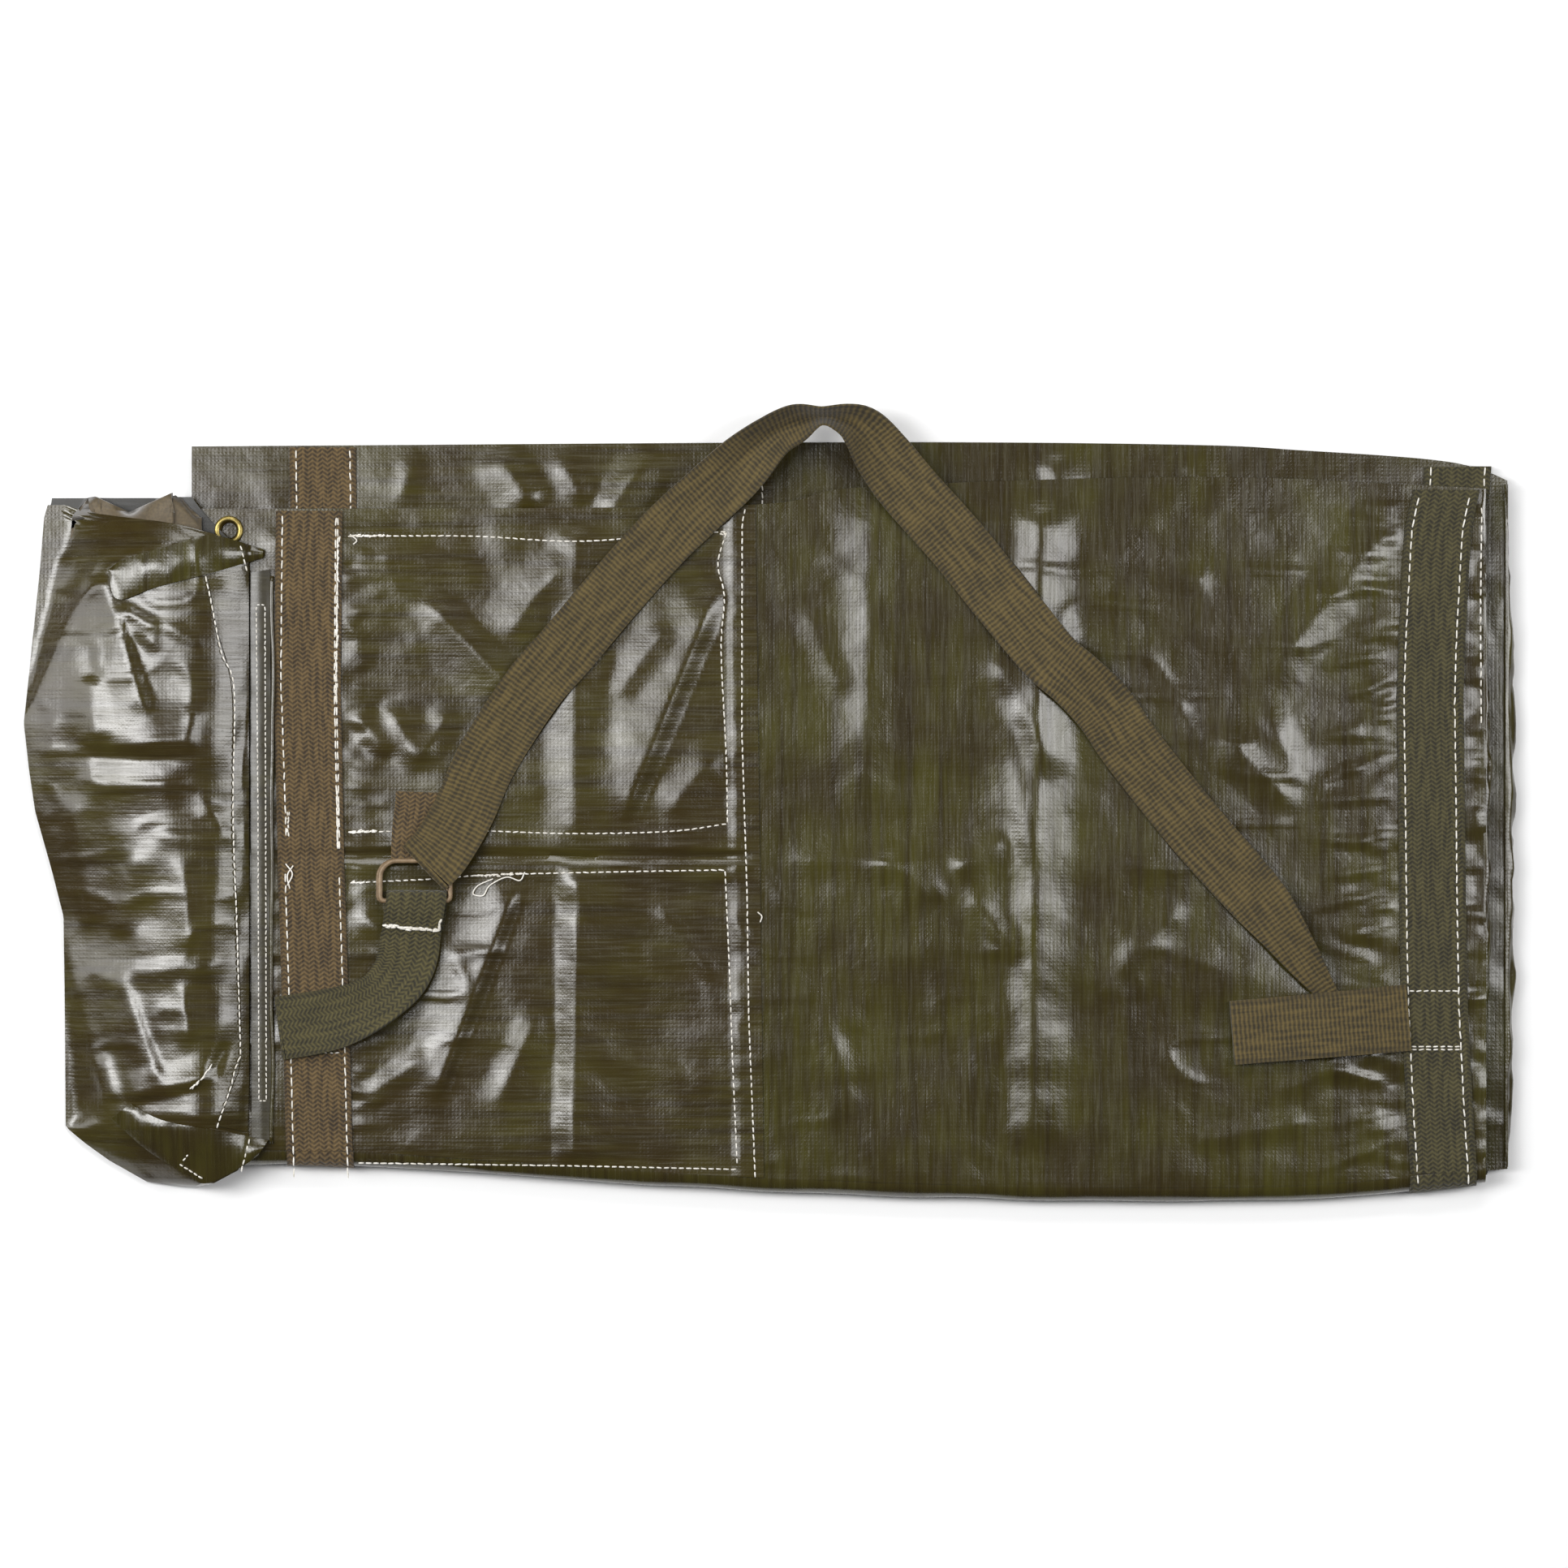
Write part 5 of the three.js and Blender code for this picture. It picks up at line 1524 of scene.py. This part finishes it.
        under = bend[-1] - heading * np.array([[6.0], [16.0], [30.0]]) - np.array([0, 0, 0.1])
        side = np.array([-heading[1], heading[0], 0.0])
        ended = Ribbon.turning(np.vstack([bend, under]), 38.0, side)
        fit(ended.build("left_strap_end_webbing"), UPPER, self.finishes.ring_strap,
            ["left_strap_end"], flat=(STRAP_WIDTH, ended.length()))
        falls = ((bar_y - 24, high - 6.8), (bar_y - 16, high - 4.0), (bar_y - 7, high - 0.6))
        sewing = Sewing("ring_strap_stitching", lambda x, y: np.interp(y, *zip(*falls)) + 1.3 + 0 * x,
                        radius=0.7, seed=33)
        sewing.backtack([(-231.5, -73.6), (-215, -75.4), (-198.5, -76.6)], 3.0)
        sewing.backtack([(-231.0, -74.2), (-214, -75.9), (-198.0, -77.0)], 4.0)
        sewing.backtack([(-198.5, -76.6), (-197.0, -70.0)], 3.0)
        fit(sewing.build(), CARRY, self.finishes.thread)

    def build_right_end(self) -> None:
        """The strap's right end: sewn beneath the webbing, folded at its left, and back under itself."""
        heading = units(np.array([-0.9963, -0.0865, 0.0]))
        side = np.array([-heading[1], heading[0], 0.0])
        start = np.array([384.0, -129.3, 0.0])
        level = float(np.max(self.surface(np.linspace(275, 375, 12), np.full(12, -134.0)))) + 1.2
        steps = ((0.0, 0.3), (6.0, 0.7), (14.0, 2.2), (30.0, 4.6), (45.0, 5.6), (60.0, 4.8), (80.0, 3.4),
                 (100.0, 2.8), (104.5, 2.7))
        top = np.array([start + heading * along + np.array([0, 0, level + up]) for along, up in steps])
        radius = 1.35
        bend = folded_end(top[-1] - np.array([0, 0, radius]), heading, radius, 80, 9)
        under = bend[-1] - heading * np.array([[8.0], [30.0], [58.0]])
        route = evenly(np.vstack([smooth_line(top, 5), bend, under]), 1.2)
        count = len(route)
        widths = np.interp(np.arange(count) / count, [0, 0.5, 1], [40.0, 38.5, 38.0])
        ended = Ribbon.turning(route, widths, side)
        fit(ended.build("right_strap_end_webbing"), UPPER, self.finishes.strap,
            ["right_strap_end"], flat=(38, ended.length()))

    def build(self) -> None:
        """Builds the strap, its rings and its ends."""
        self.build_shoulder_strap()
        self.build_ring_turn()
        self.build_rings()
        self.build_ring_strap()
        self.build_right_end()


# ---- Eyelet ----


@dataclass
class Eyelet:
    """The brass hanging eyelet at the free edge, with its washer behind the cloth."""

    finishes: Finishes
    segments: int = 72

    def turned(self, name: str, profile: Sequence[Point]) -> bpy.types.Object:
        """A round piece about the eyelet's axis.

        Args:
            name: The piece's name.
            profile: Closed outline of radius and level.

        Returns:
            The linked object.
        """
        box = Extent.of("eyelet")
        middle = (box.low + box.high) / 2
        outline = np.asarray(profile, float)
        turn = np.linspace(0, 2 * math.pi, self.segments, endpoint=False)[:, None]
        x = middle[0] + outline[None, :, 0] * np.cos(turn)
        y = middle[1] + outline[None, :, 0] * np.sin(turn)
        points = np.stack([x, y, outline[None, :, 1] + 0 * turn], axis=-1)
        rows, columns = points.shape[:2]
        index = np.arange(rows * columns).reshape(rows, columns)
        over, beside = np.roll(index, -1, axis=0), np.roll(index, -1, axis=1)
        faces = np.stack([a.ravel() for a in (index, over, np.roll(over, -1, axis=1), beside)], axis=1)
        return make_mesh(name, points.reshape(-1, 3), faces)

    def build(self) -> None:
        """Builds the rolled eyelet and its washer."""
        box, washer = Extent.of("eyelet"), Extent.of("eyelet_washer")
        outer = (box.high[0] - box.low[0]) / 2
        hole, wall = outer - 4.1, 0.6
        base = box.high[2] - 1.2
        half = (outer - hole - wall) / 2
        angles = np.radians(np.linspace(0, 180, 15))
        roll = [(hole + wall + half + half * math.cos(a), base + 1.5 * math.sin(a)) for a in angles]
        profile = [
            (hole, box.low[2]), (hole + wall, box.low[2]), (hole + wall, base - 0.2), (outer, base - 0.2),
            *roll, (hole + 0.1, base - 0.3)]
        fit(self.turned("rolled_eyelet", profile), UPPER, self.finishes.brass, ["eyelet"])
        inside = hole + wall + 0.3
        low, high = washer.low[2], washer.high[2]
        ring = [(inside, low), (outer, low), (outer + 0.2, (low + high) / 2), (outer, high), (inside, high)]
        fit(self.turned("washer_disc", ring), UPPER, self.finishes.brass, ["eyelet_washer"])


# ---- End pocket ----


@dataclass
class EndPocket:
    """The boxed pocket that hangs on the pack's end, with the rolled cover in its mouth."""

    finishes: Finishes
    cloth: float = 0.8
    step: float = 2.6
    outer_side: tuple[Point, ...] = (
        (-232, -352), (-229, -375), (-216, -398), (-206, -412), (-196, -424.5), (-130, -425), (-69, -425.6),
        (-40, -433), (-5.6, -442.7), (20, -446.5), (48, -449.6), (68, -447.6), (141, -440), (172, -437.5),
        (182, -434.5))
    inner_side: tuple[Point, ...] = (
        (-232, -346), (-229, -334), (-221, -319), (-206, -312.8), (146, -312.8), (155, -318), (161, -333),
        (167.6, -357), (174, -408.5), (182, -433.5))
    facet: tuple[Point, ...] = ((-333, 160), (-384, 146.6), (-397, 139.8), (-417, 115), (-449, 48))
    creases: tuple[Crease, ...] = (
        Crease((-401, 138), (-388, 100), 3.6, 7, 26, 0.2),
        Crease((-392, 112), (-372, 48), 4.0, 7, 24, 0.25),
        Crease((-394, 119), (-362, 101), 3.0, 7, 8, 0.3),
        Crease((-386, 107), (-364, 92), 2.0, 7, 7, 0.3),
        Crease((-366, 108), (-336, 92), 1.5, 7, 6, 0.3),
        Crease((-418, 28), (-345, 25), -1.6, 7, 8, 0.25),
        Crease((-420, 38), (-341, 36), 2.6, 26, 11, 0.2),
        Crease((-421, 14), (-350, 10), 1.6, 7, 22, 0.2),
        Crease((-407, 78), (-402, 34), 2.6, 12, 20, 0.2),
        Crease((-345, 60), (-349, 28), 2.0, 10, 6, 0.25),
        Crease((-421, 6), (-407, -78), 2.4, 18, 9, 0.15),
        Crease((-380, -26), (-392, -84), 2.2, 14, 9, 0.2),
        Crease((-352, -30), (-347, -92), 1.6, 10, 12, 0.25),
        Crease((-412, -106), (-324, -97), 1.7, 7, 13, 0.15),
        Crease((-391, -100), (-364, -174), 3.0, 7, 24, 0.2),
        Crease((-352, -104), (-349, -150), 2.0, 10, 8, 0.25),
        Crease((-402, -150), (-392, -184), 2.4, 8, 9, 0.25),
        Crease((-324, -142), (-336, -168), -1.8, 6, 6, 0.3),
        Crease((-330, -164), (-388, -178), 3.0, 5, 16, 0.15),
        Crease((-345, 8), (-317, -30), 1.5, 8, 8, 0.3),
        Crease((-430, 60), (-436, 0), 1.5, 8, 8, 0.3),
        Crease((-436, 130), (-424, 150), 1.3, 8, 10, 0.3),
        Crease((-371, -20), (-322, -22), 1.2, 8, 9, 0.25),
    )
    side_fold: tuple[Point, ...] = ((-426, -66), (-421, -100), (-413, -126.6), (-406.6, -148.5), (-396, -190))

    def reach(self, x: Array, y: Array) -> tuple[Array, Array]:
        """Distances from the outer side and from the seam, for each point."""
        outer = np.interp(y, *zip(*self.outer_side))
        inner = np.interp(y, *zip(*self.inner_side))
        return x - outer, np.minimum(inner, -312.0) - x

    def front(self, x: Array, y: Array) -> Array:
        """The level of the pocket's front skin at each point."""
        x, y = np.asarray(x, float), np.asarray(y, float)
        from_side, _ = self.reach(x, y)
        from_seam = -312.0 - x
        outer = 3.4 + 31.5 * (1 - (1 - np.clip(from_side / 84, 0, 1)) ** 1.45)
        inner = 21.8 + 13.0 * (1 - (1 - np.clip(from_seam / 36, 0, 1)) ** 1.9)
        soft = 3.0
        level = -soft * np.log(np.exp(-outer / soft) + np.exp(-inner / soft)) + 0.6
        bottom = np.interp(x, (-425, -412, -398, -375, -346, -334, -319, -312.8),
                           (-196, -206, -216, -229, -232, -229, -221, -206))
        ends = rise(-2, 44, y - bottom)
        low = np.minimum(level, 9.0 + 13.0 * rise(0, 40, from_side))
        level = low + (level - low) * ends
        line = np.asarray(self.facet, float)
        beyond = self.beyond(line, x, y)
        level = level - 0.33 * beyond * rise(0, 3.0, beyond)
        slope = self.beyond(np.asarray(self.side_fold, float), x, y)
        level = level - 0.3 * np.clip(slope, 0, 30) * rise(-75, -100, y) * rise(-205, -185, y)
        noise = 1.1 * soft_noise(x / 34, y / 38, 141) + 0.4 * soft_noise(x / 15, y / 17, 142)
        ridged = np.clip(1 - 2.2 * np.abs(soft_noise(x / 30, y / 22, 143)), 0, 1) ** 2
        near = rise(0, 14, from_side) * rise(0, 8, from_seam + 2)
        relief = 0.85 * total_relief(self.creases, x, y) + noise + 0.7 * ridged
        mouth = rise(150, 176, y)
        return np.maximum(level + relief * near * (1 - 0.6 * mouth), 1.8 + 0 * x)

    @staticmethod
    def beyond(line: Array, x: Array, y: Array) -> Array:
        """How far each point lies past a fold line, on its outer side, and 0 on its inner side."""
        best = np.full(np.broadcast(x, y).shape, 1e9)
        outside = np.zeros(best.shape, bool)
        for (ax, ay), (bx, by) in zip(line[:-1], line[1:]):
            dx, dy = bx - ax, by - ay
            share = np.clip(((x - ax) * dx + (y - ay) * dy) / (dx * dx + dy * dy), 0, 1)
            distance = np.hypot(x - ax - share * dx, y - ay - share * dy)
            aside = (x - ax) * dy - (y - ay) * dx
            nearer = distance < best
            best = np.where(nearer, distance, best)
            outside = np.where(nearer, aside > 0, outside)
        return np.where(outside, best, 0.0)

    def skin(
        self, name: str, level: Height, inset: float, inner_side: Sequence[Point], top_y: float
    ) -> bpy.types.Object:
        """A skin that fills the pocket's outline.

        Args:
            name: The piece's name.
            level: Its upper face.
            inset: How far inside the outline it ends.
            inner_side: Its side towards the pack, as Y and X.
            top_y: Y of its upper end.

        Returns:
            The linked object.
        """
        y = np.arange(-231.5 + inset, top_y, self.step)[:, None]
        share = np.linspace(0, 1, 54)[None, :]
        outer = np.interp(y, *zip(*self.outer_side)) + inset
        inner = np.maximum(np.interp(y, *zip(*inner_side)) - inset, outer + 1.0)
        x = outer + share * (inner - outer)
        y = y + 0 * share
        top = np.stack([x, y, level(x, y)], axis=-1)
        return slab(f"{name}_cloth", top.transpose(1, 0, 2), self.cloth)

    def back(self, x: Array, y: Array) -> Array:
        """The level of the pocket's back skin: on the pack, and down past its end to the floor."""
        edge = UPPER_PACK.left - 1.0
        on_pack = UPPER_OUTER + 1.1 + 0.3 * soft_noise(x / 20, y / 25, 150)
        level = 2.0 + (on_pack - 2.0) * rise(edge - 11, edge, x)
        past = rise(UPPER_PACK.fold.at(x) - 9, UPPER_PACK.fold.at(x) + 2, y)
        return np.minimum(2.0 + (level - 2.0) * past, self.front(x, y) - 1.2)

    def strip(
        self, name: str, one: Sequence[Point], other: Sequence[Point], lift: float,
        finish: bpy.types.Material, flat: Point, replaces: Sequence[str] = (), swell: float = 0.0,
        mount: Mount = POCKET_LIFT, bed: Height | None = None, area: float | None = None,
    ) -> bpy.types.Object:
        """A sewn-on strip between two lines that both run the same way.

        Args:
            name: The piece's name.
            one: Its first side.
            other: Its second side.
            lift: Height above the skin.
            finish: Its material.
            flat: Width and length that it was cut to.
            replaces: The CAD nodes that it stands for.
            swell: How far its middle stands up.
            mount: How it moves.
            bed: What it lies on, the front skin unless given.
            area: Its cut area, where it isn't a rectangle; not used.

        Returns:
            The dressed piece.
        """
        under = bed or self.front
        sides = []
        for line in (one, other):
            given = smooth_line(line, 10)
            total = np.linalg.norm(np.diff(given, axis=0), axis=1).sum()
            sides.append(evenly(given, total / 70))
        count = min(len(side) for side in sides)
        first, second = (side[np.linspace(0, len(side) - 1, count).round().astype(int)] for side in sides)
        share = np.linspace(0, 1, 13)[None, :]
        x = first[:, :1] + share * (second[:, :1] - first[:, :1])
        y = first[:, 1:] + share * (second[:, 1:] - first[:, 1:])
        z = under(x, y) + lift + swell * np.sin(math.pi * share) + 0.25 * soft_noise(x / 9, y / 9, 160)
        top = np.stack([x, y, z], axis=-1)
        if np.cross(top[1, 0] - top[0, 0], top[0, 1] - top[0, 0])[2] < 0:
            top = top[:, ::-1]
        piece = slab(f"{name}_cloth", top, self.cloth)
        return fit(piece, mount, finish, replaces, flat=flat)

    def build_skins(self) -> None:
        """The front and back skins."""
        front = self.skin("pocket_front", self.front, 0.0, self.inner_side, 181.8)
        fit(front, POCKET_LIFT, self.finishes.lengthwise, ["pocket_front"],
            flat=(165, 410))
        behind = (*self.inner_side[:4], (150, -313), (160, -325), (168, -333), (176, -340), (184, -346))
        back = self.skin("pocket_back", self.back, 1.6, behind, 184.4)
        # The back skin wears the near-black painted shade of the pocket's inside.
        fit(back, POCKET_LIFT, self.finishes.painted_shade_cloth, ["pocket_back"],
            flat=(150, 400))

    def build_trim(self) -> None:
        """The facing, the flange with its piping, and the two boxed corners."""
        finishes = self.finishes
        self.strip(
            "pocket_facing",
            [(-336, 134), (-333.5, 119), (-331, 104), (-322, 66), (-321.6, -6), (-318.5, -78), (-317, -150),
             (-322, -171), (-331, -194)],
            [(-312.6, 140), (-312.6, 119), (-312.6, 104), (-312.6, 66), (-312.6, -6), (-312.6, -78),
             (-312.6, -150), (-312.6, -171), (-313.6, -198)],
            1.0, finishes.lengthwise, (25, 345), ["pocket_facing"], area=4100)
        self.strip(
            "pocket_flange",
            [(-312.0, 138), (-311.6, 0), (-311.0, -201)], [(-300.0, 140), (-299.6, 0), (-299.4, -203)],
            1.3, finishes.dark_cloth, (11, 343), ["pocket_flange"], 0.8, UPPER,
            level_at(UPPER_OUTER + 1.0))
        y = np.linspace(-205, 136, 90)
        piping = np.column_stack([
            -298.6 + 0.8 * soft_noise(y / 40, 0 * y, 7), y, np.full(90, UPPER_OUTER + 2.1)])
        fit(tube("pocket_piping", piping, 1.2, 10), UPPER, finishes.crosswise)
        self.strip(
            "pocket_upper_gusset",
            [(-397, 139), (-391, 122), (-367, 129), (-331, 138.5), (-304, 147)],
            [(-397, 140.5), (-384, 147), (-360, 153.5), (-335, 160.2), (-304, 152)],
            2.0, finishes.crosswise, (19, 98), ["pocket_upper_gusset"], 1.2)
        self.strip(
            "pocket_lower_gusset",
            [(-383.7, -181), (-369.8, -188.4), (-357.3, -192.3), (-334.4, -196.2), (-311, -201),
             (-301, -203)],
            [(-395.4, -190), (-373.4, -209.5), (-354.4, -220.7), (-339.3, -229), (-318, -219.5),
             (-307, -212)],
            1.4, finishes.crosswise, (27, 95), ["pocket_lower_gusset"], 2.0)

    def build_cover(self) -> None:
        """The nylon cover, rolled and stuffed in the pocket so that its folds show at the mouth."""
        box = Extent.of("rolled_cover")
        y = np.linspace(box.low[1] + 4, box.high[1] + 8.0, 70)[:, None]
        turn = np.linspace(0, 2 * math.pi, 60, endpoint=False)[None, :]
        middle = -376 - 10 * rise(60, 170, y)
        half_x = np.interp(y, [box.low[1], -150, 60, 150, 186], [12, 44, 52, 46, 42])
        half_z = np.interp(y, [box.low[1], -150, 60, 150, 186], [2, 6, 7, 6, 4.5])
        folds = 1 + 0.16 * np.sin(7 * turn + y / 26) + 0.12 * np.sin(4 * turn - y / 17)
        folds = folds + 0.1 * soft_noise(turn * 5, y / 9, 171)
        x = middle + half_x * folds * np.cos(turn)
        level = np.interp(y, [-230, -180, 150, 186], [20, 24.5, 24, 22]) - 9 * rise(-365, -420, x)
        z = level + half_z * folds * np.sin(turn)
        lumps = np.exp(-(((x + 408) / 10) ** 2)) + np.exp(-(((x + 358) / 10) ** 2))
        y = y + 0 * turn + (2.0 * soft_noise(turn * 4, y / 30, 172) - 14.0 + 14.0 * lumps) * rise(150, 186, y)
        x = np.clip(x, np.interp(y, *zip(*self.outer_side)) + 17, -325 - 16 * rise(140, 165, y))
        covered = np.minimum(y, 172.0)
        z = np.clip(z, self.back(x, covered) + 1.0, np.maximum(self.front(x, covered) - 1.8, 3.0))
        points = np.stack([x, y, z], axis=-1)
        rows, columns = points.shape[:2]
        index = np.arange(rows * columns).reshape(rows, columns)
        after = np.roll(index, -1, axis=1)
        sides = np.stack([a.ravel() for a in (index[:-1], after[:-1], after[1:], index[1:])], axis=1)
        ends = np.vstack([points[0].mean(axis=0), points[-1].mean(axis=0) + np.array([0, -2.0, 0])])
        count = rows * columns
        first = np.stack([after[0], index[0], np.full(columns, count)], axis=1)
        last = np.stack([index[-1], after[-1], np.full(columns, count + 1)], axis=1)
        faces = sides.tolist() + first.tolist() + last.tolist()
        mesh = bpy.data.meshes.new("rolled_cover")
        mesh.from_pydata((np.vstack([points.reshape(-1, 3), ends]) * MM).tolist(), [], faces)
        mesh.shade_smooth()
        piece = bpy.data.objects.new("rolled_cover_folds", mesh)
        bpy.context.scene.collection.objects.link(piece)
        fit(piece, POCKET_LIFT, self.finishes.nylon, ["rolled_cover"])

    def sew(self) -> None:
        """Sews the pocket."""
        seam = Sewing("pocket_facing_stitching", raised(self.front, 1.2), seed=81)
        seam.row([(-338, 136), (-334.4, 119.8), (-331.8, 105.6), (-328, 88), (-321, 67.6), (-321.7, -5.6),
                  (-319.3, -78.8), (-317.3, -152)], smooth=True)
        seam.row([(-317.3, -152), (-320.7, -160.7), (-323.2, -171.5), (-331.5, -195.9)], smooth=True)
        seam.backtack([(-334, -158), (-346, -172)], 4.0)
        fit(seam.build(), POCKET_LIFT, self.finishes.thread)
        corner = Sewing("pocket_gusset_stitching", raised(self.front, 2.9), seed=83)
        corner.row([(-317.3, 154.4), (-313.4, 138.3)], pitch=4.0)
        corner.row([(-311.9, -201.7), (-317.3, -222.2)], pitch=4.0)
        corner.row([(-354.4, -217), (-340.2, -226)], pitch=3.6)
        corner.row([(-352, -215.4), (-348.5, -211)], pitch=2.6)
        fit(corner.build(), POCKET_LIFT, self.finishes.thread)
        flange = Sewing("pocket_flange_stitching", level_at(UPPER_OUTER + 3.0), radius=0.4, seed=85)
        flange.row([(-308.2, 118), (-307.2, 0), (-306.6, -179)], pitch=3.4)
        flange.row([(-303.0, 118), (-302.6, 0), (-302.2, -179)], pitch=3.4)
        flange.row([(-308.2, 118.6), (-303.0, 118.6)], pitch=2.6)
        flange.row([(-306.6, -179.4), (-302.2, -179.4)], pitch=2.6)
        fit(flange.build(), UPPER, self.finishes.thread)

    def build(self) -> None:
        """Builds the pocket."""
        self.build_skins()
        self.build_trim()
        self.build_cover()
        self.sew()


# ---- Studio ----


@dataclass(frozen=True)
class SoftLight:
    """A soft box that faces the pack."""

    name: str
    place: tuple[float, float, float]
    size: Point
    power: float

    def build(self, target: Vector) -> None:
        """Hangs the light, turned to the target."""
        data = bpy.data.lights.new(self.name, "AREA")
        data.shape = "RECTANGLE"
        data.size, data.size_y = self.size
        data.energy = self.power
        light = bpy.data.objects.new(self.name, data)
        light.location = self.place
        light.rotation_euler = (target - light.location).to_track_quat("-Z", "Y").to_euler()
        bpy.context.scene.collection.objects.link(light)


@dataclass
class Studio:
    """A pale floor, soft lights and a camera straight above, in metres."""

    view_width: float = 0.9424
    height: float = 5.0
    offset: Point = (0.0088, 0.011)
    lights: tuple[SoftLight, ...] = (
        SoftLight("high_left_soft_box", (-1.8, 0.5, 3.9), (1.25, 2.4), 60.0),
        SoftLight("low_left_soft_box", (-2.25, 0.3, 1.35), (0.9, 2.0), 19.0),
        SoftLight("left_soft_box", (-1.4, 0.25, 1.7), (0.5, 1.5), 18.0),
        SoftLight("right_soft_box", (1.4, 0.2, 1.8), (0.6, 1.7), 25.0),
        SoftLight("top_soft_box", (-0.1, 1.65, 1.8), (1.8, 0.6), 19.0),
    )

    def build_camera(self) -> None:
        """Hangs the camera straight above the pack."""
        data = bpy.data.cameras.new("camera")
        data.sensor_width = 36.0
        data.lens = data.sensor_width * (self.height - 0.02) / self.view_width
        data.clip_end = 20.0
        camera = bpy.data.objects.new("camera", data)
        camera.location = (*self.offset, self.height)
        bpy.context.scene.collection.objects.link(camera)
        bpy.context.scene.camera = camera

    def build(self) -> None:
        """Lays the floor and sets the lights."""
        scene = bpy.context.scene
        scene.view_settings.view_transform = "Standard"
        side = 6.0
        mesh = bpy.data.meshes.new("floor")
        sides = ((-side, -side), (side, -side), (side, side), (-side, side))
        corners = [(x, y, -0.0006) for x, y in sides]
        mesh.from_pydata(corners, [], [(0, 1, 2, 3)])
        floor = bpy.data.objects.new("floor", mesh)
        material, tree = start_material("paper_floor")
        end_material(tree, {"Base Color": linear("#F7F7F7"), "Roughness": 0.9})
        mesh.materials.append(material)
        scene.collection.objects.link(floor)
        world = bpy.data.worlds.new("studio_air")
        world.use_nodes = True
        background = world.node_tree.nodes["Background"]
        background.inputs["Color"].default_value = linear("#F4F5F8")
        background.inputs["Strength"].default_value = 0.08
        scene.world = world
        for light in self.lights:
            light.build(Vector((0.0, 0.0, 0.0)))


def main() -> None:
    """Builds the studio and the stretcher."""
    logging.basicConfig(level=logging.INFO, format="%(name)s: %(message)s")
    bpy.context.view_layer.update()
    studio = Studio()
    studio.build_camera()
    finishes = Finishes()
    packs = Packs(finishes)
    packs.build()
    CarryStrap(finishes, packs.face.surface).build()
    Eyelet(finishes).build()
    EndPocket(finishes).build()
    studio.build()


if __name__ == "__main__":
    main()
